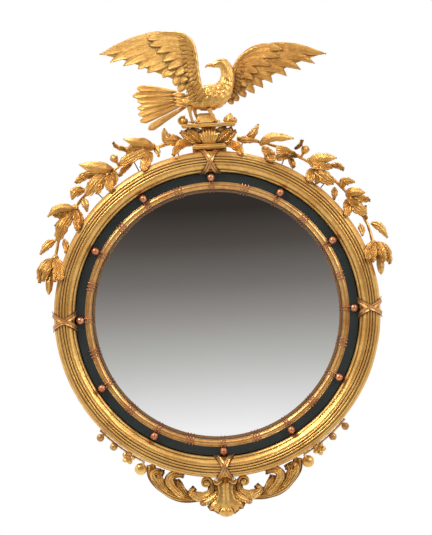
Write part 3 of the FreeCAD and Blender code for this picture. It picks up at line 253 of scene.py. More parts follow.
class Bench:
    """The few ways in which every carved piece is made."""

    @staticmethod
    def clear() -> None:
        """Leaves edit mode and deselects everything."""
        if bpy.context.object and bpy.context.object.mode != "OBJECT":
            bpy.ops.object.mode_set(mode="OBJECT")
        bpy.ops.object.select_all(action="DESELECT")

    @staticmethod
    def pick(piece: bpy.types.Object) -> None:
        """Selects one object and makes it active."""
        Bench.clear()
        piece.select_set(True)
        bpy.context.view_layer.objects.active = piece

    @staticmethod
    def points(piece: bpy.types.Object) -> np.ndarray:
        """Returns the mesh's points as rows."""
        rows = np.empty(len(piece.data.vertices) * 3, np.float64)
        piece.data.vertices.foreach_get("co", rows)
        return rows.reshape(-1, 3)

    @staticmethod
    def move(piece: bpy.types.Object, rows: np.ndarray) -> None:
        """Puts the mesh's points at these rows."""
        piece.data.vertices.foreach_set("co", np.ascontiguousarray(rows, np.float64).ravel())
        piece.data.update()

    @staticmethod
    def mark(piece: bpy.types.Object, name: str, values: np.ndarray) -> None:
        """Writes one value for each point, which the finishes read."""
        layer = piece.data.attributes.get(name) or piece.data.attributes.new(name, "FLOAT", "POINT")
        layer.data.foreach_set("value", np.ascontiguousarray(values, np.float32))

    @staticmethod
    def uncut(piece: bpy.types.Object, rub: float | np.ndarray) -> None:
        """Marks a piece that has no fine cuts with how far its gilding is rubbed."""
        blank = np.zeros(len(piece.data.vertices))
        Bench.mark(piece, "cuts", blank)
        Bench.mark(piece, "rub", blank + rub)

    @staticmethod
    def closed(piece: bpy.types.Object) -> None:
        """Merges doubled points and turns the faces outwards."""
        Bench.pick(piece)
        bpy.ops.object.mode_set(mode="EDIT")
        bpy.ops.mesh.select_all(action="SELECT")
        bpy.ops.mesh.remove_doubles(threshold=MERGE_DISTANCE)
        bpy.ops.mesh.normals_make_consistent(inside=False)
        bpy.ops.object.mode_set(mode="OBJECT")

    @staticmethod
    def apply(piece: bpy.types.Object, kind: str, **settings: Any) -> None:
        """Adds one modifier with its settings and applies it."""
        Bench.pick(piece)
        modifier = piece.modifiers.new(kind.title(), kind)
        for key, value in settings.items():
            setattr(modifier, key, value)
        bpy.ops.object.modifier_apply(modifier=modifier.name)

    @staticmethod
    def joined(name: str, pieces: Sequence[bpy.types.Object], angle: float) -> bpy.types.Object:
        """Joins pieces into one named object with smooth shading up to an angle."""
        Bench.clear()
        for piece in pieces:
            piece.select_set(True)
        bpy.context.view_layer.objects.active = pieces[0]
        if len(pieces) > 1:
            bpy.ops.object.join()
        whole = bpy.context.view_layer.objects.active
        whole.name = name
        whole.data.name = name
        bpy.ops.object.shade_smooth_by_angle(angle=math.radians(angle))
        return whole

    @staticmethod
    def sheet(along: int, across: int, shape: Callable) -> bpy.types.Object:
        """Adds a grid and bends it to a surface.

        Args:
            along: Faces along the grid.
            across: Faces across it.
            shape: Takes the shares along (0 to 1) and across (-1 to 1) and returns points in mm.

        Returns:
            The new object.
        """
        Bench.clear()
        bpy.ops.mesh.primitive_grid_add(x_subdivisions=along, y_subdivisions=across, size=2.0)
        piece = bpy.context.object
        rows = Bench.points(piece)
        Bench.move(piece, shape((rows[:, 0] + 1) / 2, rows[:, 1]) * MM)
        return piece

    @staticmethod
    def blade(spine: Sequence[np.ndarray], width: float, outline: Stops, relief: Relief,
              thick: float, facing: Sequence[float] = FORWARD, along: int = 22,
              across: int = 12) -> bpy.types.Object:
        """Carves a leaf, petal or feather on a curved spine.

        Args:
            spine: A few points of its middle line, from its root.
            width: Its greatest width.
            outline: The share of that width at shares of the length.
            relief: How its face is carved.
            thick: Its thickness.
            facing: The way that its face looks.
            along: Faces along it.
            across: Faces across it.

        Returns:
            The closed blade.
        """
        rail = Rail.along(spine, BLADE_POINTS, facing)

        def shape(share: np.ndarray, aside: np.ndarray) -> np.ndarray:
            half = along_stops(outline, share) * width / 2
            return rail.beside(share, aside * half, relief.height(share, aside, thick))

        piece = Bench.sheet(along, across, shape)
        share, aside = Bench.grid_shares(piece)
        off_middle = np.abs(aside)
        half = along_stops(outline, share) * width / 2
        slant = share * rail.length - off_middle * half * relief.barb_lean
        Bench.mark(piece, "cuts", slant / relief.barb_pitch)
        # Painted shade along the blade's edges and in the creases beside the midrib, marked deep for the
        # gilding.
        beside_rib = np.exp(-((off_middle - 0.10) / 0.05) ** 2) * (relief.midrib > 0)
        Bench.mark(piece, "deep", 0.75 * np.clip((off_middle - 0.86) / 0.1, 0, 1) + 0.8 * beside_rib)
        edge = np.clip((off_middle - 0.72) / 0.28, 0, 1)
        tip = np.clip((share - 0.86) / 0.14, 0, 1)
        Bench.mark(piece, "rub", np.maximum(edge ** 2, tip))
        Bench.apply(piece, "SOLIDIFY", thickness=thick * MM, offset=-1.0, use_even_offset=False)
        return piece

    @staticmethod
    def grid_shares(piece: bpy.types.Object) -> tuple[np.ndarray, np.ndarray]:
        """Reads each point's place in its grid from the grid's own UV map."""
        mesh = piece.data
        spots = np.empty(len(mesh.loops) * 2, np.float32)
        mesh.uv_layers[0].data.foreach_get("uv", spots)
        corners = np.empty(len(mesh.loops), np.int32)
        mesh.loops.foreach_get("vertex_index", corners)
        shares = np.zeros((len(mesh.vertices), 2))
        shares[corners] = spots.reshape(-1, 2)
        return shares[:, 0], shares[:, 1] * 2 - 1

    @staticmethod
    def tube(spine: Sequence[np.ndarray], radii: Stops, around: int = 14, along: int = 24,
             facing: Sequence[float] = FORWARD, flat: float = 1.0, flutes: int = 0,
             flute_depth: float = 0.0, twist: float = 0.0, rub: float = 0.3) -> bpy.types.Object:
        """Turns a closed round form along a curved spine.

        Args:
            spine: A few points of its middle line.
            radii: Its radius in mm at shares of the length.
            around: Faces round it.
            along: Faces along it.
            facing: The way that its flattened side looks.
            flat: Its depth as a share of its width.
            flutes: Number of hollows round it.
            flute_depth: The hollows' depth as a share of the radius.
            twist: Turns that the flutes make along it.
            rub: How far its gilding is rubbed.

        Returns:
            The closed form.
        """
        rail = Rail.along(spine, TUBE_POINTS, facing)
        cap = 1 / (along + 2)

        def shape(share: np.ndarray, aside: np.ndarray) -> np.ndarray:
            capped = np.clip((share - cap) / (1 - 2 / (along + 2)), 0, 1)
            turn = aside * math.pi
            radius = along_stops(radii, capped)
            if flutes:
                radius = radius * (1 + flute_depth * np.cos(flutes * (turn + twist * math.tau * capped)))
            radius = np.where((share < 1e-6) | (share > 1 - 1e-6), 0, radius)
            return rail.beside(capped, radius * np.cos(turn), radius * np.sin(turn) * flat)

        piece = Bench.sheet(along + 2, around, shape)
        Bench.uncut(piece, rub)
        Bench.closed(piece)
        return piece

    @staticmethod
    def knob(centre: np.ndarray, radius: float, stretch: Sequence[float] = (1, 1, 1),
             rub: float = 0.5, lumps: float = 0.0) -> bpy.types.Object:
        """Adds a rounded ball, stretched and made a little uneven."""
        Bench.clear()
        bpy.ops.mesh.primitive_uv_sphere_add(segments=24, ring_count=14, radius=1.0)
        piece = bpy.context.object
        rows = Bench.points(piece)
        hand = wander(rows[:, 0] * 3 + centre[0], rows[:, 2] * 3 + centre[2], rows[:, 1].mean())
        uneven = 1 + lumps * hand
        Bench.move(piece, (rows * uneven[:, None] * np.asarray(stretch) * radius + centre) * MM)
        Bench.uncut(piece, rub)
        return piece

    @staticmethod
    def spun(section: Sequence[tuple[float, float]], steps: int) -> bpy.types.Object:
        """Spins a closed section round the ring's axis.

        Args:
            section: Radius and depth of each corner, in mm.
            steps: Faces round the ring.

        Returns:
            The closed ring or plate.
        """
        Bench.clear()
        bpy.ops.mesh.primitive_circle_add(vertices=len(section), radius=1.0, fill_type="NOTHING")
        piece = bpy.context.object
        corners = np.asarray(section, float)
        Bench.move(piece, np.column_stack([corners[:, 0], -corners[:, 1], np.zeros(len(corners))]) * MM)
        bpy.ops.object.mode_set(mode="EDIT")
        bpy.ops.mesh.select_all(action="SELECT")
        bpy.ops.mesh.spin(steps=steps, angle=math.tau, center=(0, 0, 0), axis=(0, 1, 0))
        bpy.ops.object.mode_set(mode="OBJECT")
        Bench.closed(piece)
        return piece

    @staticmethod
    def block(low: np.ndarray, high: np.ndarray, bevel: float, cuts: int = 0) -> bpy.types.Object:
        """Adds a block between two corners, its edges bevelled and its faces cut up."""
        Bench.clear()
        bpy.ops.mesh.primitive_cube_add(size=1.0)
        piece = bpy.context.object
        low, high = np.minimum(low, high), np.maximum(low, high)
        Bench.move(piece, (Bench.points(piece) * (high - low) + (low + high) / 2) * MM)
        bpy.ops.object.mode_set(mode="EDIT")
        bpy.ops.mesh.select_all(action="SELECT")
        bpy.ops.mesh.bevel(offset=bevel * MM, segments=3)
        if cuts:
            bpy.ops.mesh.select_all(action="SELECT")
            bpy.ops.mesh.subdivide(number_cuts=cuts)
        bpy.ops.object.mode_set(mode="OBJECT")
        Bench.uncut(piece, 0.3)
        return piece


# ---- finishes


class Value:
    """A socket of a material that arithmetic adds nodes to."""

    def __init__(self, finish: "Nodes", socket: Any) -> None:
        """Keeps the material's nodes and the socket."""
        self.finish = finish
        self.socket = socket

    def _math(self, operation: str, *others: Any) -> "Value":
        """Adds one Math node."""
        return self.finish.node("ShaderNodeMath", {"operation": operation}, self, *others)

    def __add__(self, other: Any) -> "Value":
        """Adds."""
        return self._math("ADD", other)

    def __mul__(self, other: Any) -> "Value":
        """Multiplies."""
        return self._math("MULTIPLY", other)

    def __sub__(self, other: Any) -> "Value":
        """Subtracts."""
        return self._math("SUBTRACT", other)

    def __rsub__(self, other: Any) -> "Value":
        """Subtracts from a number."""
        return self.finish.node("ShaderNodeMath", {"operation": "SUBTRACT"}, other, self)

    __radd__ = __add__
    __rmul__ = __mul__

    def wave(self) -> "Value":
        """Returns the sine of whole turns."""
        return (self * math.tau)._math("SINE")

    def between(self, low: float, high: float) -> "Value":
        """Returns 0 up to low and 1 from high, with an even run between."""
        return self.finish.node("ShaderNodeMapRange", {"clamp": True}, self, low, high, 0.0, 1.0)


class Nodes:
    """A material's node tree, built by expressions."""

    def __init__(self, name: str) -> None:
        """Makes the material with its shader and its Object coordinates."""
        self.material = bpy.data.materials.new(name)
        self.material.use_nodes = True
        self.tree = self.material.node_tree
        self.tree.nodes.clear()
        self.shader = self.tree.nodes.new("ShaderNodeBsdfPrincipled")
        output = self.tree.nodes.new("ShaderNodeOutputMaterial")
        self.tree.links.new(self.shader.outputs["BSDF"], output.inputs["Surface"])
        coordinates = self.tree.nodes.new("ShaderNodeTexCoord")
        self.place = Value(self, coordinates.outputs["Object"])

    def node(self, kind: str, settings: dict[str, Any], *inputs: Any, output: int | str = 0) -> Value:
        """Adds a node.

        Args:
            kind: The node's type.
            settings: Its settings, set before its sockets; "stops" fills a ramp.
            inputs: Values or links for its sockets in order; None leaves one as it is.
            output: Which output to return.

        Returns:
            That output.
        """
        made = self.tree.nodes.new(kind)
        stops = settings.get("stops")
        for key, value in settings.items():
            if key != "stops":
                setattr(made, key, value)
        if stops:
            ramp = made.color_ramp
            while len(ramp.elements) < len(stops):
                ramp.elements.new(0.5)
            for element, (spot, colour) in zip(ramp.elements, stops):
                element.position = spot
                element.color = (*colour, 1.0) if len(colour) == 3 else colour
        for socket, value in zip(made.inputs, inputs):
            self.feed(socket, value)
        return Value(self, made.outputs[output])

    def feed(self, socket: Any, value: Any) -> None:
        """Links or sets one socket."""
        if value is None:
            return
        if isinstance(value, Value):
            self.tree.links.new(value.socket, socket)
        else:
            socket.default_value = (*value, 1.0) if isinstance(value, tuple) and len(value) == 3 \
                and len(socket.default_value) == 4 else value

    def noise(self, scale: float, detail: float = 3.0, roughness: float = 0.55,
              where: Value | None = None) -> Value:
        """Returns a soft random pattern."""
        return self.node("ShaderNodeTexNoise", {}, where or self.place, None, scale, detail, roughness)

    def stretched(self, x: float, y: float, z: float) -> Value:
        """Returns the coordinates scaled by three factors."""
        return self.node("ShaderNodeMapping", {}, self.place, (0, 0, 0), (0, 0, 0), (x, y, z))

    def mark(self, name: str) -> Value:
        """Returns a value that the mesh carries for each point."""
        return self.node("ShaderNodeAttribute", {"attribute_name": name}, output="Fac")

    def hollow(self, distance: float) -> Value:
        """Returns 1 in the open and 0 deep in a hollow."""
        return self.node("ShaderNodeAmbientOcclusion", {"samples": 6}, None, distance, output="AO")

    def blend(self, share: Any, first: Any, second: Any) -> Value:
        """Mixes two colours."""
        mixed = self.tree.nodes.new("ShaderNodeMix")
        mixed.data_type = "RGBA"
        self.feed(mixed.inputs["Factor"], share)
        self.feed(mixed.inputs[6], first)
        self.feed(mixed.inputs[7], second)
        return Value(self, mixed.outputs[2])

    def bump(self, height: Value, distance: float, strength: float = 1.0) -> Value:
        """Returns a normal bent by a height in metres."""
        made = self.tree.nodes.new("ShaderNodeBump")
        made.inputs["Strength"].default_value = strength
        made.inputs["Distance"].default_value = distance
        self.feed(made.inputs["Height"], height)
        return Value(self, made.outputs["Normal"])

    def set(self, **sockets: Any) -> bpy.types.Material:
        """Feeds the shader's sockets, named with underscores, and returns the material."""
        for name, value in sockets.items():
            self.feed(self.shader.inputs[name.replace("_", " ")], value)
        return self.material


@dataclass(frozen=True)
class Gilding:
    """Gold leaf over red bole, darkened in the cuts and hollows by painted shade and grime, and rubbed on the
    high places.

    Attributes:
        name: The material's name.
        bright: The cleanest leaf.
        deep: The leaf where it is toned.
        shade: The dark brown painted into cuts and hollows as shade and grime.
        bole: The clay that shows where the leaf is rubbed away.
        wear: How much bole shows, from 0 to 1.
        tone: How much of the surface is toned, from 0 to 1.
        cut_depth: Depth of the fine carved cuts, mm.
        marked_shade: How much painted shade darkens the points marked deep, such as creases, grooves and
            under edges, from 0 to 1.
    """

    name: str
    bright: tuple[float, float, float] = (0.97, 0.61, 0.195)
    deep: tuple[float, float, float] = (0.58, 0.285, 0.065)
    shade: tuple[float, float, float] = (0.10, 0.040, 0.013)
    bole: tuple[float, float, float] = (0.23, 0.062, 0.026)
    wear: float = 0.35
    tone: float = 0.45
    cut_depth: float = 0.25
    marked_shade: float = 0.42

    HOLLOW_REACH = 0.011

    def make(self) -> bpy.types.Material:
        """Returns the material."""
        nodes = Nodes(self.name)
        broad = nodes.noise(14, 4, 0.6)
        fine = nodes.noise(120, 4, 0.65)
        speck = nodes.noise(420, 2, 0.6)
        brushed = nodes.noise(38, 5, 0.7, nodes.stretched(1.0, 1.0, 2.2))
        cuts = nodes.mark("cuts").wave()
        toned = (broad * 0.7 + fine * 0.5 + (self.tone - 0.95)).between(-0.12, 0.32)
        leaf = nodes.blend(toned, self.bright, self.deep)
        # Painted shade, with grime: darker in hollows by ambient occlusion, in the troughs of the fine cuts
        # and on the points marked deep, where the leaf also turns less metallic and rougher.
        hollow_shade_and_grime = 1 - nodes.hollow(self.HOLLOW_REACH).between(0.20, 0.74)
        painted_shade_and_grime = hollow_shade_and_grime + (1 - cuts.between(-1.0, -0.3)) * 0.12 + nodes.mark("deep") * self.marked_shade
        leaf = nodes.blend((painted_shade_and_grime * 0.8).between(0.04, 0.98), leaf, self.shade)
        rubbed = nodes.mark("rub") * 0.42 + brushed * 0.9 + speck * 0.22 + (self.wear * 0.75 - 1.12)
        bare = rubbed.between(0.0, 0.10)
        colour = nodes.blend(bare * 0.88, leaf, nodes.blend(fine, self.bole, self.deep))
        metal = (1 - bare * 0.75) - (painted_shade_and_grime * 0.55).between(0.1, 0.9)
        height = fine * 0.13 + brushed * 0.28 + cuts * self.cut_depth + bare * -0.10
        return nodes.set(
            Base_Color=colour,
            Metallic=metal.between(0.05, 1.12),
            Roughness=toned * 0.14 + painted_shade_and_grime * 0.22 + fine * 0.12 + 0.21,
            Normal=nodes.bump(height, MM),
        )


@dataclass(frozen=True)
class Ebonised:
    """Black stain with a green cast under a thin polish."""

    name: str = "ebonised_black"

    def make(self) -> bpy.types.Material:
        """Returns the material."""
        nodes = Nodes(self.name)
        cloud = nodes.noise(18, 4)
        grain = nodes.noise(60, 5, 0.7, nodes.stretched(1.0, 1.0, 4.0))
        colour = nodes.blend(cloud, (0.006, 0.011, 0.010), (0.018, 0.026, 0.023))
        rough = grain * 0.25 + cloud * 0.2 + 0.22
        return nodes.set(Base_Color=colour, Roughness=rough, Normal=nodes.bump(grain, 0.0002, 0.5))


@dataclass(frozen=True)
class SilveredPlate:
    """The convex plate: bright silvering under a faint haze."""

    name: str = "silvered_plate"

    def make(self) -> bpy.types.Material:
        """Returns the material."""
        nodes = Nodes(self.name)
        haze = nodes.noise(9, 5, 0.6)
        colour = nodes.blend(haze, (0.93, 0.93, 0.93), (0.89, 0.895, 0.89))
        return nodes.set(Base_Color=colour, Metallic=1.0, Roughness=haze * 0.012 + 0.004)


@dataclass(frozen=True)
class BareWood:
    """Planed softwood, darkened with age."""

    name: str
    pale: tuple[float, float, float] = (0.46, 0.29, 0.15)
    dark: tuple[float, float, float] = (0.25, 0.14, 0.065)
    stretch: tuple[float, float, float] = (1.0, 4.0, 9.0)

    def make(self) -> bpy.types.Material:
        """Returns the material."""
        nodes = Nodes(self.name)
        grain = nodes.noise(26, 6, 0.65, nodes.stretched(*self.stretch))
        stain = nodes.noise(5, 4, 0.6)
        colour = nodes.blend(grain.between(0.32, 0.68), self.pale, self.dark)
        colour = nodes.blend(stain.between(0.45, 0.8) * 0.6, colour, self.dark)
        return nodes.set(Base_Color=colour, Roughness=grain * 0.2 + 0.6,
                         Normal=nodes.bump(grain, 0.0004, 0.6))


@dataclass(frozen=True)
class Metal:
    """A plain worked metal, with its tarnish."""

    name: str
    clean: tuple[float, float, float]
    tarnished: tuple[float, float, float]
    rough: float = 0.35
    scale: float = 60.0

    def make(self) -> bpy.types.Material:
        """Returns the material."""
        nodes = Nodes(self.name)
        patch = nodes.noise(self.scale, 5, 0.6)
        scratch = nodes.noise(self.scale * 5, 3, 0.6, nodes.stretched(1.0, 1.0, 0.15))
        colour = nodes.blend(patch.between(0.35, 0.7), self.clean, self.tarnished)
        return nodes.set(Base_Color=colour, Metallic=1.0 - patch.between(0.4, 0.9) * 0.3,
                         Roughness=patch * 0.3 + scratch * 0.15 + (self.rough - 0.15),
                         Normal=nodes.bump(scratch, 0.0001, 0.6))


@dataclass(frozen=True)
class Felt:
    """Pressed wool felt."""

    name: str = "grey_felt"

    def make(self) -> bpy.types.Material:
        """Returns the material."""
        nodes = Nodes(self.name)
        fibre = nodes.noise(900, 5, 0.75)
        patch = nodes.noise(60, 3)
        colour = nodes.blend(fibre, (0.022, 0.022, 0.020), (0.085, 0.085, 0.078))
        colour = nodes.blend(patch * 0.5, colour, (0.05, 0.052, 0.045))
        return nodes.set(Base_Color=colour, Roughness=0.92, Normal=nodes.bump(fibre, 0.0006, 0.8))


class Finish(Enum):
    """Every finish on the object, with the record's slot that it belongs to."""

    ROLL = ("gilt_roll", Gilding("gilded_roll", wear=0.26, tone=0.48, cut_depth=0.0, marked_shade=0.8))
    SLIP = ("gilt_slip", Gilding("gilded_slip", bright=(0.95, 0.585, 0.215), deep=(0.50, 0.22, 0.065),
                                 wear=0.32, tone=0.50, cut_depth=0.0, marked_shade=0.8))
    RUBBED = ("gilt_on_bole", Gilding("rubbed_gilding", bright=(0.93, 0.50, 0.27), deep=(0.46, 0.15, 0.07),
                                      wear=0.34, tone=0.55, cut_depth=0.0))
    RIBBON = ("gilt_on_bole", Gilding("gilded_ribbon", bright=(0.93, 0.56, 0.22), deep=(0.50, 0.22, 0.07),
                                      wear=0.22, tone=0.55, cut_depth=0.0, marked_shade=0.7))
    BIRD = ("gilt_bird", Gilding("gilded_bird", wear=0.27, tone=0.48, cut_depth=0.16))
    # A darker, more orange copy of the bird's gilding: painted shade for the far wing, which lies in shadow.
    FAR_WING = ("gilt_bird", Gilding("far_wing_shaded_gilding", bright=(0.91, 0.51, 0.145),
                                     deep=(0.50, 0.225, 0.05), wear=0.30, tone=0.54, cut_depth=0.16))
    SPRAY = ("gilt_spray", Gilding("gilded_spray", wear=0.30, tone=0.50, cut_depth=0.12))
    APRON = ("gilt_apron", Gilding("gilded_apron", wear=0.36, tone=0.42, cut_depth=0.08, marked_shade=0.3))
    CREST = ("gilt_crest", Gilding("gilded_crest", wear=0.30, tone=0.44, cut_depth=0.15, marked_shade=0.3))
    EBONISED = ("ebonised_wood", Ebonised())
    PLATE = ("mirror_glass", SilveredPlate())
    PINE = ("pine", BareWood("bare_pine"))
    BOARD = ("backboard_wood", BareWood("backboard", (0.30, 0.18, 0.09), (0.15, 0.085, 0.04),
                                        (9.0, 4.0, 0.8)))
    FELT = ("felt", Felt())
    BRASS = ("brass_hanger", Metal("dull_brass", (0.72, 0.47, 0.16), (0.36, 0.22, 0.09)))
    IRON = ("black_iron", Metal("black_iron", (0.055, 0.05, 0.047), (0.10, 0.055, 0.035), 0.55))
    STEEL = ("screw_steel", Metal("bright_steel", (0.56, 0.56, 0.56), (0.30, 0.29, 0.28), 0.3, 120.0))

    @property
    def slot(self) -> str:
        """The record's material slot."""
        return self.value[0]

    def material(self) -> bpy.types.Material:
        """Returns the finish's material, made once."""
        return bpy.data.materials.get(self.value[1].name) or self.value[1].make()


def hand_over(parts: Sequence[bpy.types.Object], finish: Finish, *nodes: str, name: str = "",
              angle: float = 50.0) -> None:
    """Joins a piece's parts, finishes it and lets it stand for its nodes.

    Args:
        parts: The finished meshes.
        finish: What the piece is finished with.
        nodes: The nodes that it replaces.
        name: The piece's name, or nothing for the first node's name with "_carved".
        angle: The edge angle in degrees up to which it is shaded smooth.
    """
    piece = Bench.joined(name or f"{nodes[0]}_carved", parts, angle)
    piece.data.materials.clear()
    piece.data.materials.append(finish.material())
    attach(piece, MIRROR_BODY)
    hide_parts(*nodes)
    LOG.info("%s: %d faces", piece.name, len(piece.data.polygons))


# ---- the ring


@dataclass(frozen=True)
class Ring:
    """The reeded roll, the slip with its ties, the balls, the crossed ribbons and the plate."""

    RIM = 360.0
    roll_inner: float = 310.6
    roll_back: float = 40.0
    roll_side: float = 9.0
    roll_crown: float = 30.6
    reed_height: float = 3.5
    groove_half: float = 1.5
    sight: float = 275.5
    slip_outer: float = 290.7
    slip_shoulder: float = 54.3
    band_front: float = 54.0
    ball_circle: float = 300.75
    ball_radius: float = 8.35
    ball_sink: float = 1.6
    balls: int = 12
    roll_steps: int = 360
    slip_steps: int = 360
    plate_steps: int = 288
    plate_sphere: float = 1211.5
    plate_pole: float = 70.8
    plate_edge: float = 285.0
    plate_thick: float = 4.0
    ribbon_width: float = 9.0
    ribbon_lean: float = 36.0
    ribbon_lift: float = 1.0
    ribbon_thick: float = 1.6
    pair_half: float = 0.75
    triple_step: float = 1.45

    # Where each reed ends across the roll, from its inner side, and how full each one is.
    REED_ENDS = (0.0, 2.6, 16.5, 22.5, 29.0, 35.0, 41.5, 49.4)
    REED_SWELLS = (0.75, 0.30, 1.0, 0.9, 1.0, 0.9, 0.8)

    def over_roll(self, turn: np.ndarray | float) -> tuple[Any, Any]:
        """Returns radius and depth on the roll's half oval, from a turn off its inner side."""
        half = (self.RIM - self.roll_inner) / 2
        radius = self.roll_inner + half - half * np.cos(turn)
        depth = self.roll_back + self.roll_side + self.roll_crown * np.sin(turn)
        return radius, depth

    def roll_section(self) -> list[tuple[float, float]]:
        """The reeded section, a broad hollow at its inner side and reeds over the rest."""
        corners = [(self.roll_inner, self.roll_back)]
        width = self.RIM - self.roll_inner
        turns = [math.acos(max(1 - 2 * end / width, -1.0)) for end in self.REED_ENDS]
        for start, end, fullness in zip(turns, turns[1:], self.REED_SWELLS):
            for share in np.linspace(0, 1, 9, endpoint=False):
                turn = start + (end - start) * share
                radius, depth = self.over_roll(turn)
                swell = math.sin(math.pi * share) ** 0.92 * self.reed_height * fullness
                sink = swell - self.reed_height
                corners.append((radius - math.cos(turn) * sink, depth + math.sin(turn) * sink))
        corners.append((self.RIM - self.reed_height, self.roll_back + self.roll_side))
        corners.append((self.RIM - 1, self.roll_back))
        return corners

    def roll(self) -> None:
        """Spins the roll and lets its reeds wander as a hand cuts them."""
        piece = Bench.spun(self.roll_section(), self.roll_steps)
        rows = Bench.points(piece) / MM
        around = np.arctan2(rows[:, 0], rows[:, 2])
        radius = np.hypot(rows[:, 0], rows[:, 2])
        middle = (self.RIM + self.roll_inner) / 2
        turn = np.arctan2(-rows[:, 1] - self.roll_back - self.roll_side, middle - radius)
        front = np.clip((-rows[:, 1] - self.roll_back - 2) / 8, 0, 1)
        slip = wander(around * 5, turn * 2.4, 0.4) * 0.75 * front * np.sin(np.clip(turn, 0, math.pi))
        rise = wander(around * 9, turn * 6.0, 2.2) * 0.45 * front
        radius_new = radius + np.sin(turn) * slip - np.cos(turn) * rise
        depth_new = -rows[:, 1] + np.cos(turn) * slip * 0.6 + np.sin(turn) * rise
        Bench.move(piece, np.column_stack([radius_new * np.sin(around), -depth_new,
                                           radius_new * np.cos(around)]) * MM)
        Bench.uncut(piece, front * 0.3)
        # Painted shade: the grooves between the reeds are marked deep, so the gilding darkens them.
        across = (radius - self.roll_inner)[:, None]
        groove = np.min(np.abs(across - np.asarray(self.REED_ENDS)[None, 1:-1]), axis=1)
        Bench.mark(piece, "deep", np.clip(1 - groove / self.groove_half, 0, 1) * front)
        hand_over([piece], Finish.ROLL, "reeded_roll", angle=60)

    def slip_profile(self) -> list[tuple[float, float]]:
        """The slip's section: a bead at each side and a broad one between, on straight sides."""
        corners = [(self.sight, self.roll_back)]
        beads = ((0.0, 0.15, 0.5), (0.15, 0.85, 2.3), (0.85, 1.0, 0.5))
        for start, end, rise in beads:
            for share in np.linspace(0, 1, 8, endpoint=False):
                across = start + (end - start) * share
                corners.append((self.sight + (self.slip_outer - self.sight) * across,
                                self.slip_shoulder - 0.8 + rise * math.sin(math.pi * share) ** 0.85))
        corners.append((self.slip_outer, self.slip_shoulder - 0.8))
        corners.append((self.slip_outer, self.roll_back))
        return corners

    def slip(self) -> None:
        """Spins the slip, pinches it a little where it is tied, and marks painted shade on its inner wall."""
        piece = Bench.spun(self.slip_profile(), self.slip_steps)
        rows = Bench.points(piece) / MM
        around = np.arctan2(rows[:, 0], rows[:, 2])
        pinch = np.cos(around * self.balls) ** 12
        depth = -rows[:, 1]
        uneven = depth - pinch * 0.6 + wander(around * 30, depth) * 0.2
        depth = np.where(depth > self.slip_shoulder - 2, uneven, depth)
        Bench.move(piece, np.column_stack([rows[:, 0], -depth, rows[:, 2]]) * MM)
        Bench.uncut(piece, np.clip(1 - np.abs(np.cos(around * self.balls / 2)), 0, 1) * 0.4)
        # Painted shade: the slip's inner wall is marked deep, so the gilding renders it dark.
        wall = np.hypot(rows[:, 0], rows[:, 2]) < self.sight + 0.2
        Bench.mark(piece, "deep", wall * 1.1)
        hand_over([piece], Finish.SLIP, "gilt_slip", angle=55)

    def tie(self, angle: float, radius: float) -> bpy.types.Object:
        """One cord-like band over the slip at an angle."""
        lean = math.radians(angle)
        arch = ((self.sight - 0.3, 46), (self.sight + 0.2, 54.6), (self.sight + 7.5, 56.4),
                (self.slip_outer - 0.4, 55.2), (self.slip_outer + 0.9, 54.7))
        spine = [place(out * math.sin(lean), depth, out * math.cos(lean)) for out, depth in arch]
        return Bench.tube(spine, ((0, radius), (1, radius)), 10, 14,
                          facing=(math.cos(lean), 0, -math.sin(lean)), rub=0.9)

    def ties(self) -> None:
        """A pair of bands at each ball, and three together half way between the balls."""
        step = 360 / self.balls
        pairs = [self.tie(step * index + side * self.pair_half, 1.25)
                 for index in range(self.balls) for side in (-1, 1)]
        hand_over(pairs, Finish.RUBBED, "slip_ball_ties", name="ball_tie_bands")
        threes = [self.tie(step * (index + 0.5) + side * self.triple_step, 1.35)
                  for index in range(self.balls) for side in (-1, 0, 1)]
        hand_over(threes, Finish.RUBBED, "slip_collars", name="triple_tie_bands")

    def ball_ring(self) -> None:
        """The balls on the band."""
        pieces = []
        for index in range(self.balls):
            lean = math.tau * index / self.balls
            depth = self.band_front + self.ball_radius - self.ball_sink
            centre = place(self.ball_circle * math.sin(lean), depth, self.ball_circle * math.cos(lean))
            pieces.append(Bench.knob(centre, self.ball_radius - 0.1, rub=0.45, lumps=0.02))
        hand_over(pieces, Finish.RUBBED, "gilt_balls", name="balls_gilt")

    def ribbon(self, quarter: float, side: int) -> bpy.types.Object:
        """One ribbon over the roll, its edges raised and a groove between them."""
        half = self.ribbon_width / 2
        sweep = (self.RIM - self.roll_inner) * math.tan(math.radians(self.ribbon_lean))

        def shape(share: np.ndarray, across: np.ndarray) -> np.ndarray:
            turn = share * math.pi * 0.94 + 0.03 * math.pi
            radius, depth = self.over_roll(turn)
            edge = 0.9 * np.abs(across) ** 3 - 1.3 * np.exp(-(across / 0.22) ** 2)
            lift = self.ribbon_lift + edge + 0.7 * (side > 0) * np.exp(-((share - 0.5) / 0.12) ** 2)
            radius = radius - np.cos(turn) * lift
            depth = depth + np.sin(turn) * lift
            spread = side * (share - 0.5) * sweep + across * half / math.cos(math.radians(self.ribbon_lean))
            lean = math.radians(quarter) + spread / radius
            return np.column_stack([radius * np.sin(lean), -depth, radius * np.cos(lean)])

        piece = Bench.sheet(36, 12, shape)
        share, across = Bench.grid_shares(piece)
        Bench.uncut(piece, 0.2 + 0.3 * np.abs(across))
        # Painted shade in the middle groove and along the outer rims, marked deep for the gilding.
        rims = np.clip(np.abs(across) * 8 - 7, 0, 1)
        Bench.mark(piece, "deep", np.maximum(np.exp(-(across / 0.2) ** 2), rims))
        Bench.apply(piece, "SOLIDIFY", thickness=self.ribbon_thick * MM, offset=0.0)
        Bench.closed(piece)
        return piece

    def ribbons(self) -> None:
        """The four crosses."""
        strips = [self.ribbon(quarter * 90, side) for quarter in range(4) for side in (-1, 1)]
        hand_over(strips, Finish.RIBBON, "ribbon_crosses", name="crossed_ribbons")

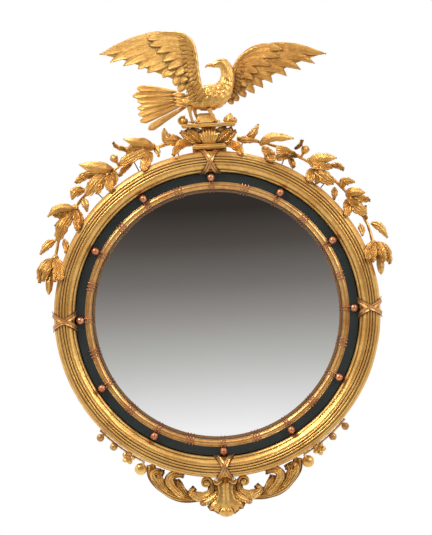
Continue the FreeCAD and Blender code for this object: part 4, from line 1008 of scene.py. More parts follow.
    def plate(self) -> None:
        """The convex plate, smooth enough to mirror cleanly."""
        spans = np.linspace(0, self.plate_edge, 49)
        sag = self.plate_sphere - np.sqrt(self.plate_sphere ** 2 - spans ** 2)
        front = [(float(r), self.plate_pole - float(s)) for r, s in zip(spans, sag)]
        rear = [(r, depth - self.plate_thick) for r, depth in reversed(front[::6])]
        piece = Bench.spun(front + rear, self.plate_steps)
        hand_over([piece], Finish.PLATE, "convex_glass", name="convex_plate", angle=30)

    def build(self) -> None:
        """Makes the whole ring."""
        self.roll()
        self.slip()
        self.ties()
        self.ball_ring()
        self.ribbons()
        self.plate()


# ---- the eagle

FEATHER = ((0, 0.70), (0.2, 0.95), (0.6, 1.0), (0.80, 0.80), (0.92, 0.42), (1, 0.04))
SHORT_FEATHER = ((0, 0.7), (0.3, 1.0), (0.66, 0.92), (0.86, 0.54), (1, 0.07))
FEATHER_CARVING = Relief(arch=1.0, midrib=0.7, barb_pitch=3.0, barb_lean=3.4)
COVERT_CARVING = Relief(arch=1.2, midrib=0.7, barb_pitch=2.8, barb_lean=3.0, tip_curl=0.6)
SCALE_CARVING = Relief(arch=1.6, midrib=0.6, barb_pitch=2.4, barb_lean=2.0, tip_curl=0.8)


@dataclass(frozen=True)
class Wing:
    """One spread wing.

    Attributes:
        side: "left" or "right", as seen from the front.
        root_x: Where the wing's plan starts, X.
        root_depth: Depth of its flat back at the root.
        flights: Long feathers: root, middle and tip as X and Z, and the width.
        coverts: Feathers of the second row, in the same form.
        shorts: The short rows: first and last feather's line, how many, their width and their lift.
        bone: Points of the leading edge's ridge, X and Z.
        web: The leading and the trailing line of the wood behind the feathers.
        sweep: Degrees that the wing comes forward.
        finish: What it is finished with.
    """

    side: str
    root_x: float
    root_depth: float
    flights: tuple
    coverts: tuple
    shorts: tuple
    bone: tuple
    web: tuple
    sweep: float = 10.0
    finish: Finish = Finish.BIRD

    WEB_LIFT = 2.6
    WEB_THICK = 2.4

    def spot(self, x: float, z: float, lift: float) -> np.ndarray:
        """Returns a point of the swept wing from its X and Z and its height over the wing's back."""
        lean = math.tan(math.radians(self.sweep))
        return place(x, self.root_depth + abs(x - self.root_x) * lean + lift, z)

    def feather(self, run: Sequence[tuple[float, float]], width: float, lift: float,
                relief: Relief, outline: Stops, thick: float) -> bpy.types.Object:
        """One feather along a run of points."""
        rise = np.linspace(0.0, 1.0, len(run))
        spine = [self.spot(x, z, lift + step * 0.8) for (x, z), step in zip(run, rise)]
        return Bench.blade(spine, width, outline, relief, thick, along=30, across=12)

    def build(self) -> None:
        """Carves the wing from its back forward: web, long feathers, coverts, short ones, bone."""
        pieces = []
        for row, high, fall, carving, thick in ((self.flights, 5.6, 2.6, FEATHER_CARVING, 2.6),
                                                (self.coverts, 9.2, 1.8, COVERT_CARVING, 3.4)):
            for index, (*run, width) in enumerate(row):
                lift = high - fall * index / len(row)
                pieces.append(self.feather(run, width, lift, carving, FEATHER, thick))
        for first, last, amount, width, lift in self.shorts:
            for step in np.linspace(0, 1, amount):
                run = [tuple((1 - step) * np.asarray(a) + step * np.asarray(b))
                       for a, b in zip(first, last)]
                pieces.append(self.feather(run, width, lift, SCALE_CARVING, SHORT_FEATHER, 2.2))
        pieces.append(Bench.tube([self.spot(x, z, 9.0) for x, z in self.bone],
                                 ((0, 4.2), (0.15, 5.2), (0.7, 4.6), (1, 2.2)), 16, 60, flutes=2,
                                 flute_depth=0.10, twist=5.0, rub=0.7))
        pieces.append(self.back())
        hand_over(pieces, self.finish, f"eagle_wing_{self.side}")

    def back(self) -> bpy.types.Object:
        """The thin wood that the feathers are carved on, between its leading and trailing lines."""
        lead, trail = (through([self.spot(x, z, self.WEB_LIFT) for x, z in line], 40) for line in self.web)

        def shape(share: np.ndarray, across: np.ndarray) -> np.ndarray:
            mix = ((across + 1) / 2)[:, None]
            rows = read(trail, share) * (1 - mix) + read(lead, share) * mix
            rows[:, 1] -= 0.7 * np.sin(across * 9) * np.sin(share * 3.1)
            return rows

        piece = Bench.sheet(40, 16, shape)
        share, across = Bench.grid_shares(piece)
        Bench.mark(piece, "cuts", share * 14 + across * 3)
        Bench.mark(piece, "rub", np.full(len(share), 0.3))
        Bench.apply(piece, "SOLIDIFY", thickness=self.WEB_THICK * MM, offset=0.0)
        Bench.closed(piece)
        return piece


NEAR_WING = Wing(
    side="left", root_x=-17, root_depth=54,
    flights=(
        ((-58, 607), (-100, 613), (-141, 605), (-180, 592), (-213, 581), (-229, 577.5), 24),
        ((-62, 597), (-110, 598), (-150, 586), (-185, 572), (-207, 559), 25),
        ((-66, 588), (-105, 584), (-145, 570), (-179, 551), 25),
        ((-64, 576), (-95, 571), (-125, 559), (-148, 543), 25),
        ((-60, 562), (-85, 558), (-110, 548), (-128, 534), 24),
        ((-54, 548), (-72, 543), (-86, 533), (-95, 522), 23),
        ((-48, 532), (-58, 524), (-65, 513), (-68.5, 503), 22),
        ((-44, 512), (-51, 505), (-57, 497), (-61, 489), 18),
    ),
    coverts=(
        ((-40, 597), (-70, 611), (-100, 612), (-124, 606), 22),
        ((-34, 590), (-60, 598), (-92, 599), (-121, 593), 21),
        ((-32, 578), (-55, 585), (-82, 586), (-106, 577.5), 20),
        ((-31, 566), (-52, 571), (-74, 568), (-93, 558), 20),
        ((-30, 553), (-50, 556), (-69, 550), (-84, 540), 19),
        ((-29, 540), (-44, 541), (-57, 534), (-67, 525), 18),
        ((-29, 526), (-40, 525), (-49, 518), (-55, 508), 17),
    ),
    shorts=(
        (((-27, 596), (-40, 603), (-56, 603)), ((-25, 528), (-36, 529), (-48, 523)), 9, 9.6, 10.6),
        (((-25, 560), (-32, 562), (-41, 560)), ((-23, 512), (-31, 508), (-39, 502)), 7, 8.4, 11.6),
        (((-30, 508), (-39, 503), (-47, 495)), ((-22, 478), (-32, 472), (-41, 465)), 5, 8.6, 9.4),
        (((-19, 516), (-25, 508), (-30, 499)), ((-6, 486), (-16, 477), (-26, 469)), 6, 8.6, 11.0),
        (((-21, 540), (-25, 534), (-29, 526)), ((-9, 496), (-15, 489), (-21, 481)), 5, 7.6, 12.6),
    ),
    bone=((-13, 497), (-19, 530), (-21, 565), (-25, 589), (-34, 605), (-52, 616.5), (-75, 620),
          (-98, 620.5)),
    web=(((-16, 520), (-22, 575), (-50, 612), (-100, 616), (-150, 604), (-190, 588), (-222, 579)),
         ((-30, 480), (-50, 500), (-72, 518), (-98, 530), (-135, 546), (-172, 562), (-212, 574))),
)

FAR_WING = Wing(
    # Its finish is the darker copy of the bird's gilding, painted shade for this wing.
    side="right", root_x=42, root_depth=16, finish=Finish.FAR_WING,
    flights=(
        ((92, 570), (130, 578), (165, 580.5), (205, 574), (240, 564), (265, 559.3), 22),
        ((90, 560), (130, 567), (170, 566), (210, 556), (239, 539.5), 23),
        ((86, 550), (120, 555), (155, 552), (185, 542), (208, 528), 23),
        ((82, 540), (110, 543), (140, 539), (162, 530), (177, 516), 23),
        ((78, 528), (100, 530), (122, 524), (136, 515), (145, 503), 21),
        ((72, 516), (90, 517), (106, 511), (117, 503), (124, 493), 19),
        ((66, 504), (82, 503), (94, 496), (105, 482), 18),
        ((60, 492), (72, 490), (80, 483), (85, 474), 17),
        ((54, 480), (62, 477), (69, 467), 15),
        ((46, 472), (52, 468), (57, 461), 13),
    ),
    coverts=(
        ((76, 556), (105, 575), (140, 581), (172, 574), 20),
        ((72, 550), (100, 562), (135, 566), (163, 558), 20),
        ((68, 542), (95, 550), (120, 550), (143, 541), 19),
        ((66, 532), (86, 537), (102, 534), (115, 525.5), 18),
        ((64, 521), (82, 524), (95, 520), (104, 512.5), 16),
        ((60, 509), (73, 510), (82, 505), (88, 497), 15),
        ((55, 497), (66, 496), (73, 489), 13),
    ),
    shorts=(
        (((66, 545), (78, 551), (90, 551)), ((50, 482), (60, 480), (68, 473)), 10, 9.0, 9.6),
        (((62, 528), (70, 530), (79, 527)), ((49, 486), (56, 484), (63, 478)), 7, 8.0, 11.4),
    ),
    bone=((58, 505), (61, 530), (66, 545), (77, 561), (93, 573), (112, 580.5), (135, 585)),
    web=(((62, 540), (80, 562), (115, 580), (160, 587), (205, 581), (240, 568), (258, 561)),
         ((44, 474), (74, 486), (110, 503), (150, 522), (190, 540), (222, 550), (250, 558))),
)


@dataclass(frozen=True)
class Eagle:
    """The bird's body with its head, its legs and its tail."""

    depth: float = 42.0
    flatness: float = 0.8
    voxel: float = 1.3
    scale_length: float = 9.0
    scale_count: int = 11
    scale_rise: float = 1.5

    # X, Z and radius down the body and over the throat and head.
    BODY = ((-64, 470, 8), (-48, 471, 13.5), (-30, 472.5, 20), (-10, 474.5, 27), (8, 477, 29),
            (22, 481, 27), (34, 490, 22.5), (42, 502, 18.5), (46.5, 516, 16), (47, 530, 14.5), (44, 543, 13))
    THROAT = ((46, 528, 13), (44, 541, 13), (38, 549, 12.6), (30, 550.5, 10.5), (22, 548.5, 7.6),
              (16, 547, 5.6))
    SKULL = ((39, 549.5), 12.4)
    BEAK = ((19, 547.6), (9, 548), (2, 546), (-1.5, 541.5))
    EYE = (33.5, 552.6, 7.6)
    BROW = ((25, 555, 6.6), (32, 558, 8.0), (41, 556, 8.4))
    # X, Z and length of the loose breast feathers.
    TUFTS = ((50, 520, 15), (44, 496, 18), (36, 480, 20), (22, 468, 22))
    # Hip and ankle as X and Z, and how far it stands forward; the second is behind the first.
    LEGS = (((-40, 458), (-34, 423), 12), ((-30, 457), (-21, 426), -4), ((3, 452), (17, 423), 13))
    TOES = ((-10, 8), (0, 12), (10, 8), (1, -10))
    # Root, middle and tip of each tail feather as X and Z, and its width.
    UPPER_TAIL = (((-66, 492), (-110, 500), (-153, 504), 16), ((-62, 485), (-115, 489), (-163, 488), 17),
                  ((-60, 480), (-105, 477), (-153, 476), 16), ((-58, 477), (-100, 470), (-147, 465), 15))
    LOWER_TAIL = (((-60, 474), (-110, 466), (-154, 460), 15), ((-58, 470), (-108, 457), (-153, 446), 16),
                  ((-54, 465), (-103, 447), (-149, 431), 17), ((-48, 459), (-92, 436), (-132, 413), 17))
    TAIL_FEATHER = ((0, 0.35), (0.3, 0.62), (0.7, 0.92), (0.9, 1.0), (1, 0.30))
    TAIL_CARVING = Relief(arch=2.0, midrib=1.0, barb_pitch=3.0, barb_lean=2.2)
    TAIL_COVERTS = (486, 478, 470, 463)

    def spot(self, x: float, z: float, nearer: float = 0.0) -> np.ndarray:
        """Returns a point at the bird's middle depth, or nearer the viewer."""
        return place(x, self.depth + nearer, z)

    def loft(self, line: Sequence[tuple[float, float, float]]) -> bpy.types.Object:
        """A round form through centres with their radii."""
        spine = [self.spot(x, z) for x, z, _ in line]
        walked = np.r_[0, np.cumsum([math.dist(a, b) for a, b in zip(spine, spine[1:])])]
        radii = [(float(step / walked[-1]), radius) for step, (*_, radius) in zip(walked, line)]
        return Bench.tube(spine, radii, 36, 60, flat=self.flatness)

    def body(self) -> None:
        """Body, neck and head in one, with overlapping feathers cut over it, then beak and eyes."""
        forms = [self.loft(self.BODY), self.loft(self.THROAT)]
        centre, radius = self.SKULL
        forms.append(Bench.knob(self.spot(*centre), radius, (1, self.flatness, 0.98)))
        mass = Bench.joined("mass", forms, 50)
        Bench.pick(mass)
        mass.data.remesh_voxel_size = self.voxel * MM
        bpy.ops.object.voxel_remesh()
        Bench.apply(mass, "SMOOTH", factor=0.6, iterations=8)
        self.cut_feathers(mass)
        beak = Bench.tube([self.spot(*spot) for spot in self.BEAK],
                          ((0, 6.0), (0.4, 4.2), (0.8, 2.2), (1, 0.3)), 16, 20, flat=0.8, rub=0.9)
        parts = [mass, beak]
        for face in (-1, 1):
            x, z, out = self.EYE
            parts.append(Bench.knob(self.spot(x, z, face * out), 3.1, rub=1.0))
            brow = [self.spot(x, z, face * out) for x, z, out in self.BROW]
            parts.append(Bench.tube(brow, ((0, 0.8), (0.5, 1.8), (1, 0.7)), 10, 12, rub=0.9))
        parts += [self.tuft(*tuft) for tuft in self.TUFTS]
        hand_over(parts, Finish.BIRD, "eagle_body", "perch_dowel", angle=60)

    def tuft(self, x: float, z: float, reach: float) -> bpy.types.Object:
        """A loose breast feather that follows the body's curve."""
        spine = [self.spot(x - 2, z + reach * 0.55, 8), self.spot(x - 6, z, 15.5),
                 self.spot(x - 12, z - reach * 0.4, 18)]
        return Bench.blade(spine, 11, SHORT_FEATHER, SCALE_CARVING, 2.0, facing=(0.5, -0.85, 0),
                           along=14, across=8)

    def cut_feathers(self, mass: bpy.types.Object) -> None:
        """Raises overlapping feathers over the body, smaller and flatter toward the head."""
        rows = Bench.points(mass) / MM
        rail = through([self.spot(x, z) for x, z, _ in self.BODY], 160)
        walked = np.r_[0, np.cumsum(np.linalg.norm(np.diff(rail, axis=0), axis=1))]
        nearest = np.argmin(((rows[:, None, ::2] - rail[None, :, ::2]) ** 2).sum(2), axis=1)
        heading = units(np.gradient(rail, axis=0))[nearest]
        offset = rows - rail[nearest]
        upward = offset[:, 2] * heading[:, 0] - offset[:, 0] * heading[:, 2]
        turn = np.arctan2(offset[:, 1], upward) / math.tau
        step = walked[nearest] + (offset * heading).sum(1)
        row = step / self.scale_length
        slot = turn * self.scale_count
        lean = np.abs(((slot + 0.5 * (np.floor(row) % 2)) % 1) - 0.5) * 2
        ramp = 1 - ((row - 0.45 * lean ** 2) % 1)
        past_root = np.clip((step - 6) / 20, 0, 1)
        before_head = np.clip((walked[-1] - 12 - step) / 30, 0.25, 1)
        fade = past_root * before_head
        normals = np.empty(len(rows) * 3, np.float32)
        mass.data.vertices.foreach_get("normal", normals)
        raised = rows + normals.reshape(-1, 3) * (self.scale_rise * (ramp ** 1.5 - 0.4) * fade)[:, None]
        Bench.move(mass, raised * MM)
        Bench.mark(mass, "cuts", slot * 2.0)
        # Painted shade under each feather's overlapping edge, marked deep for the gilding.
        under_edge = np.clip(0.30 - ramp, 0, 0.3)
        Bench.mark(mass, "deep", under_edge * 2.6 * np.clip(fade, 0.3, 1))
        Bench.mark(mass, "rub", np.clip(0.25 + 0.4 * ramp * fade, 0, 1))

    def legs(self) -> None:
        """The thin legs, feathered at the top, each with four clawed toes."""
        parts = []
        for hip, ankle, nearer in self.LEGS:
            top, foot = self.spot(*hip, nearer), self.spot(*ankle, nearer)
            knee = (top + foot) / 2 + np.array((-1.5, 0, 0))
            shank = ((0, 6.5), (0.35, 3.6), (0.8, 2.9), (1, 3.4))
            parts.append(Bench.tube([top, knee, foot], shank, 14, 18, flutes=5, flute_depth=0.08, rub=0.4))
            for x, forward in self.TOES:
                mid = foot + np.array((x * 0.5, -forward * 0.5, 1.0))
                end = foot + np.array((x, -forward, -1.2))
                claw = ((0, 2.4), (0.5, 2.0), (0.8, 1.6), (1, 0.3))
                parts.append(Bench.tube([foot, mid, end], claw, 10, 10, facing=UPWARD, rub=0.5))
        hand_over(parts, Finish.BIRD, "eagle_legs")

    def tail(self) -> None:
        """Two fans of broad feathers, the upper one over the lower."""
        parts = []
        for rows, lift in ((self.LOWER_TAIL, 0.0), (self.UPPER_TAIL, 5.0)):
            for index, (*run, width) in enumerate(rows):
                spine = [self.spot(x, z, lift - 1.0 - index * 0.9) for x, z in run]
                parts.append(Bench.blade(spine, width, self.TAIL_FEATHER, self.TAIL_CARVING, 3.0,
                                         along=34, across=12))
        for index, z in enumerate(self.TAIL_COVERTS):
            spine = [self.spot(-48, z - 2, 8), self.spot(-62, z, 8), self.spot(-78 + index * 2, z + 1, 6)]
            parts.append(Bench.blade(spine, 10, SHORT_FEATHER, SCALE_CARVING, 2.4, along=14, across=8))
        hand_over(parts, Finish.BIRD, "eagle_tail")

    def build(self) -> None:
        """Makes the whole bird."""
        self.body()
        self.legs()
        self.tail()
        NEAR_WING.build()
        FAR_WING.build()


# ---- the crest under the bird

LEAF = ((0, 0.35), (0.2, 0.82), (0.36, 1.0), (0.46, 0.80), (0.60, 0.90), (0.74, 0.56), (0.85, 0.50),
        (1, 0.06))
ACANTHUS = ((0, 0.5), (0.18, 0.85), (0.34, 0.8), (0.5, 1.0), (0.68, 0.8), (0.8, 0.7), (0.92, 0.42),
            (1, 0.12))
LEAF_CARVING = Relief(arch=2.2, midrib=1.1, ribs=3, rib_height=0.9, ruffle=0.9, ruffles=2.5, barb_pitch=4.5,
                      barb_lean=1.0)
ACANTHUS_CARVING = Relief(arch=3.0, ribs=5, rib_height=2.0, ruffle=1.2, ruffles=3.0, barb_pitch=5.0,
                          barb_lean=0.6)


@dataclass(frozen=True)
class Crest:
    """What carries the bird: plinth, palmette, side leaves, ledge, its rolled end and leaf, and mound."""

    plinth_top: float = 375.0
    ledge_low: float = 412.0
    ledge_top: float = 420.0

    BACK = 8.2
    MOUND_HEIGHT = 23

    def plinth(self) -> None:
        """The block on the ring, its front hollowed under a small moulding."""
        low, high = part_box("crest_plinth")
        floor = low.z / MM
        body = Bench.block(place(-37.5, self.BACK, floor), place(37.5, 39, self.plinth_top - 0.2), 1.5, 3)
        lip = Bench.tube(line((-37, 50, 368), (0, 51.5, 366.5), (37, 50, 368)),
                         ((0, 5.0), (0.5, 5.8), (1, 5.0)), 16, 30, rub=0.5)
        face = Bench.block(place(-36, 30, 363.4), place(36, 52, self.plinth_top - 0.2), 2.5, 3)
        hand_over([body, lip, face], Finish.CREST, "crest_plinth")

    def palmette(self) -> None:
        """The ribbed fan on the corbel, with a small panel at each side of its head."""
        parts = [Bench.block(place(-16, self.BACK, self.plinth_top), place(16, 44, self.ledge_low), 1.5, 2)]
        for share in (-1.0, -0.66, -0.33, 0.0, 0.33, 0.66, 1.0):
            top = self.ledge_low - 1.5 - 9 * share ** 2
            spine = line((share * 9, 44, self.plinth_top + 1), (share * 17, 49.5, 391), (share * 18, 47, top))
            parts.append(Bench.tube(spine, ((0, 2.6), (0.5, 3.5), (0.85, 3.2), (1, 1.0)), 12, 18, rub=0.5))
        for side in (-1, 1):
            panel = line((side * 14, 40, 404), (side * 27, 44, 405), (side * 40, 42, 409))
            parts.append(Bench.blade(panel, 13, ((0, 0.1), (0.3, 1.0), (0.8, 0.85), (1, 0.5)),
                                     Relief(arch=1.2), 6, along=12, across=8))
        hand_over(parts, Finish.CREST, "crest_corbel", name="crest_palmette")

    def side_leaves(self) -> None:
        """The acanthus beside the palmette: two fans under the ledge and a leaf down to the ring."""
        fans = {"left": (((-12, 376), (-36, 390), (-62, 404), 30), ((-16, 381), (-33, 397), (-48, 409), 20),
                         ((-28, 382), (-62, 376), (-80, 352), 22)),
                "right": (((12, 376), (39, 389), (60, 400), 28), ((16, 381), (36, 396), (52, 407), 19),
                          ((30, 381), (60, 366), (70, 347), 22))}
        for word, (broad, small, low) in fans.items():
            parts = []
            for (*run, width), first, last in ((broad, 34, 48), (small, 44, 53)):
                spine = [place(x, first + (last - first) * step, z)
                         for (x, z), step in zip(run, (0, 0.7, 1))]
                parts.append(Bench.blade(spine, width, ACANTHUS, ACANTHUS_CARVING, 6, along=34, across=24))
            *run, width = low
            spine = [place(x, depth, z) for (x, z), depth in zip(run, (32, 56, 77))]
            parts.append(Bench.blade(spine, width, ACANTHUS, ACANTHUS_CARVING, 5, along=34, across=20))
            hand_over(parts, Finish.CREST, f"corbel_leaves_{word}")

    def ledge(self) -> None:
        """The rolled shelf, with its volute at the left and its leaf at the right."""
        slab = Bench.block(place(-58, self.BACK, self.ledge_low + 0.2),
                           place(58, 60, self.ledge_top - 0.4), 2.0, 3)
        edge = line((-59, 60, 416), (-20, 61.5, 415.4), (20, 61.5, 415.6), (59, 60, 416))
        roll = Bench.tube(edge, ((0, 4.0), (0.5, 4.4), (1, 4.0)), 18, 50, flutes=3, flute_depth=0.05,
                          twist=1.5, rub=0.6)
        hand_over([slab, roll], Finish.CREST, "crest_ledge")
        turns = [place(-54 + (11 - 5.2 * t) * math.cos(2.4 * math.tau / 2 * t + 1.2), 44,
                       427.5 + (8.5 - 4.5 * t) * math.sin(2.4 * math.tau / 2 * t + 1.2))
                 for t in np.linspace(0, 1, 14)]
        scroll = [Bench.tube(turns, ((0, 4.0), (0.5, 3.6), (1, 2.0)), 14, 60, flat=2.6, rub=0.6),
                  Bench.knob(place(-54.5, 50, 427), 7.2, (1, 1.2, 1), 0.7, 0.05)]
        hand_over(scroll, Finish.CREST, "ledge_scroll_end", name="ledge_scroll_carved")
        inner = line((40, 52, 418), (46, 54, 427), (50, 50, 440))
        outer = line((54, 50, 417), (58, 52, 424), (58, 49, 431))
        parts = [Bench.blade(inner, 24, ((0, 0.8), (0.35, 1.0), (0.6, 0.8), (0.78, 0.6), (1, 0.15)),
                             LEAF_CARVING, 6, along=24, across=16),
                 Bench.blade(outer, 14, LEAF, LEAF_CARVING, 5, along=18, across=12)]
        hand_over(parts, Finish.CREST, "ledge_leaf_tip", name="ledge_leaf_carved")

    def mound(self) -> None:
        """The rock that the bird stands over."""
        low, high = place(-30, 22, self.ledge_top), place(20, 50, self.ledge_top + self.MOUND_HEIGHT)
        rock = Bench.block(low, high, 3.0, 5)
        rows = Bench.points(rock) / MM
        share = (rows[:, 2] - self.ledge_top) / (self.MOUND_HEIGHT - 1)
        for axis, middle, taper in ((0, -5, 0.30), (1, -24, 0.35)):
            rows[:, axis] = middle + (rows[:, axis] - middle) * (1 - taper * share)
        uneven = wander(rows[:, 0] * 0.25, rows[:, 2] * 0.3 + rows[:, 1] * 0.2, 1.0)
        rows[:, 1] += uneven * 1.3
        rows[:, 0] += uneven * 0.9
        rows[:, 2] = np.maximum(rows[:, 2], self.ledge_top - 0.4)
        Bench.move(rock, rows * MM)
        hand_over([rock], Finish.CREST, "crest_mound", angle=30)

    def build(self) -> None:
        """Makes the whole crest."""
        self.plinth()
        self.palmette()
        self.side_leaves()
        self.ledge()
        self.mound()


# ---- the sprays down the shoulders

PETAL = ((0, 0.35), (0.15, 0.75), (0.36, 1.0), (0.48, 0.86), (0.62, 1.0), (0.76, 0.74), (0.86, 0.78),
         (0.94, 0.42), (1, 0.10))
HOOD = ((0, 0.45), (0.2, 0.88), (0.42, 1.0), (0.56, 0.86), (0.70, 0.88), (0.84, 0.52), (1, 0.08))
TRUMPET = ((0, 0.15), (0.4, 0.55), (0.8, 1.0), (0.95, 0.92), (1, 0.60))
PETAL_CARVING = Relief(arch=3.2, midrib=0.9, ribs=5, rib_height=1.6, ruffle=2.8, ruffles=2.4, barb_pitch=4.2,
                       barb_lean=3.0, tip_curl=2.5)
HOOD_CARVING = Relief(arch=5.0, midrib=0.0, ribs=2, rib_height=1.3, ruffle=1.6, ruffles=1.4, barb_pitch=4.6,
                      barb_lean=3.2, tip_curl=2.0)


@dataclass(frozen=True)
class Cut:
    """One carved petal or leaf.

    Attributes:
        run: Its middle line from the root, as X and Z.
        width: Its greatest width.
        root: Depth of its root before the wall.
        tip: Depth of its tip.
        bow: How far its middle stands forward of both.
        outline: Its width along its length.
        relief: How its face is carved.
    """

    run: tuple
    width: float
    root: float
    tip: float
    bow: float = 5.0
    outline: tuple = PETAL
    relief: Relief = PETAL_CARVING

    def carve(self) -> bpy.types.Object:
        """Returns the closed petal or leaf."""
        shares = np.linspace(0, 1, len(self.run))
        depths = self.root + (self.tip - self.root) * shares + self.bow * np.sin(math.pi * shares)
        spine = [place(x, depth, z) for (x, z), depth in zip(self.run, depths)]
        return Bench.blade(spine, self.width, self.outline, self.relief, 3.2, along=30, across=20)


@dataclass(frozen=True)
class Spray:
    """One spray: its stem, three lilies, leaves, a bud and the bellflower that hangs at its end.

    Attributes:
        word: "left" or "right".
        side: -1 at the left and 1 at the right.
        lilies: The petals of each open flower.
        bell: The petals of the hanging flower.
        heart: The hanging bud's line, as X, depth and Z.
        leaves: The leaves on the stem.
        out: Distance of the stem outside the rim.
        depth: Depth of the stem.
    """

    word: str
    side: int
    lilies: dict
    bell: tuple
    heart: tuple
    leaves: tuple
    out: float = 31.0
    depth: float = 30.0

    STEM = ((9.0, 31), (20, 31.5), (29.5, 30.5), (40, 31.5), (50.4, 31), (61.0, 26), (68.2, 17))
    HEARTS = {"upper": (18.5, 36), "middle": (33.9, 35), "lower": (50.4, 31)}
    BELL_ROOT = (68.2, 17, 36)
    BUD = (30.8, 50)

    def at(self, angle: float, out: float, depth: float) -> np.ndarray:
        """Returns a point of this side."""
        return at_rim(self.side * angle, out, depth)

    def stalk(self) -> None:
        """The stem, a little knotted, down to the bellflower."""
        points = [self.at(angle, out, self.depth + (6 if angle > 65 else 0)) for angle, out in self.STEM]
        girth = ((0, 4.6), (0.12, 3.6), (0.3, 3.0), (0.6, 3.4), (0.9, 3.2), (1, 3.6))
        stalk = Bench.tube(points, girth, 14, 120, flutes=3, flute_depth=0.10, twist=6)
        knots = [Bench.knob(self.at(angle, 31.2, self.depth + 1), 4.8, (1, 0.9, 1), 0.5, 0.06)
                 for angle in (15.2, 29.6, 43.8)]
        hand_over([stalk] + knots, Finish.SPRAY, f"spray_stem_{self.word}")

    def flowers(self) -> None:
        """The three open flowers."""
        for name, (angle, out) in self.HEARTS.items():
            heart = self.at(angle, out, self.depth + 5)
            parts = [Bench.knob(heart, 8.0, (1, 1.2, 1), 0.4, 0.05)]
            parts += [petal.carve() for petal in self.lilies[name]]
            hand_over(parts, Finish.SPRAY, f"lily_{name}_{self.word}")

    def bellflower(self) -> None:
        """The hanging flower with its ribbed bud."""
        parts = [Bench.knob(self.at(*self.BELL_ROOT), 8.0, (1, 1, 1), 0.4, 0.04)]
        parts += [petal.carve() for petal in self.bell]
        girth = ((0, 4.0), (0.35, 6.5), (0.62, 8.2), (0.85, 6.5), (1, 1.2))
        parts.append(Bench.tube(line(*self.heart), girth, 18, 30, flutes=5, flute_depth=0.14, rub=0.8))
        hand_over(parts, Finish.SPRAY, f"bellflower_{self.word}")

    def bud(self) -> None:
        """The closed bud on its short stalk."""
        tip = self.at(*self.BUD, self.depth + 8)
        foot = self.at(self.BUD[0], self.out, self.depth)
        parts = [Bench.tube([foot, (foot + tip) / 2, tip], ((0, 2.8), (1, 3.4)), 10, 12),
                 Bench.tube([tip - (tip - foot) * 0.45, tip, tip + (tip - foot) * 0.45],
                            ((0, 4.0), (0.35, 7.4), (0.75, 8.4), (1, 4.2)), 18, 20, flutes=4,
                            flute_depth=0.16, rub=0.8)]
        hand_over(parts, Finish.SPRAY, f"spray_bud_{self.word}")

    def foliage(self) -> None:
        """The leaves along the stem."""
        parts = [leaf.carve() for leaf in self.leaves]
        hand_over(parts, Finish.SPRAY, f"spray_leaves_{self.word}")

    def build(self) -> None:
        """Makes the whole spray."""
        self.stalk()
        self.flowers()
        self.bellflower()
        self.bud()
        self.foliage()


def leaf(run: tuple, width: float, root: float, tip: float) -> Cut:
    """Returns a leaf with a midrib and a waved edge."""
    return Cut(run, width, root, tip, 4.0, LEAF, LEAF_CARVING)


LEFT_SPRAY = Spray("left", -1, {
    "upper": (
        Cut(((-160, 373), (-180, 371), (-200, 376), (-211, 387)), 12, 44, 52, 4),
        Cut(((-172, 341), (-190, 327), (-202, 312)), 14, 36, 50, 4),
        Cut(((-128, 362), (-140, 341), (-148.5, 320)), 25, 44, 76, 5),
        Cut(((-131, 369), (-152, 362), (-176, 351), (-199, 338)), 28, 46, 58, 9),
        Cut(((-147, 372), (-169, 373), (-184, 365)), 17, 54, 62, 4),
        Cut(((-123, 371), (-142, 383), (-164, 386), (-187, 393)), 21, 42, 60, 11, HOOD, HOOD_CARVING)),
    "middle": (
        Cut(((-250, 321), (-276, 317), (-297, 302)), 20, 42, 54, 5),
        Cut(((-216, 332), (-209, 312), (-214, 291)), 14, 36, 62, 3),
        Cut(((-222, 320), (-223, 298), (-220, 279)), 23, 44, 75, 5),
        Cut(((-234, 320), (-242, 296), (-251, 275)), 18, 46, 64, 5),
        Cut(((-231, 322), (-254, 299), (-276, 273)), 30, 48, 58, 10),
        Cut(((-217, 329), (-239, 333), (-261, 336), (-287, 342)), 27, 42, 60, 13, HOOD, HOOD_CARVING)),
    "lower": (
        Cut(((-295, 244), (-289, 226), (-288, 207)), 13, 38, 68, 3),
        Cut(((-310, 242), (-325, 226), (-346, 209)), 16, 40, 52, 5),
        Cut(((-301, 241), (-297, 218), (-297, 197)), 20, 46, 72, 5),
        Cut(((-314, 242), (-333, 233), (-349, 235)), 15, 48, 56, 5),
        Cut(((-308, 238), (-328, 211), (-343, 177)), 29, 46, 58, 10),
        Cut(((-304, 246), (-325, 249), (-344, 245), (-361, 231)), 20, 42, 56, 10, HOOD, HOOD_CARVING)),
}, (
    Cut(((-356, 139), (-378, 118), (-386, 87)), 23, 40, 52, 8),
    Cut(((-349, 139), (-338, 114), (-338, 88)), 23, 44, 82, 5),
    Cut(((-354, 138), (-368, 115), (-377, 90)), 19, 46, 64, 9),
    Cut(((-351, 138), (-346, 112), (-351, 87)), 21, 48, 76, 6),
), ((-357, 44, 124), (-364, 58, 92), (-367, 60, 60)), (
    leaf(((-60, 386), (-92, 391), (-98, 414)), 27, 30, 44),
    leaf(((-120, 375), (-114, 363), (-112, 351)), 15, 34, 48),
    leaf(((-283, 269), (-278, 254), (-275, 238)), 18, 34, 46),
    leaf(((-349, 179), (-366, 169), (-383, 149)), 20, 32, 42),
    leaf(((-329, 181), (-325, 165), (-326, 150)), 16, 34, 62),
    leaf(((-279, 287), (-300, 283), (-307, 266)), 24, 36, 46)))

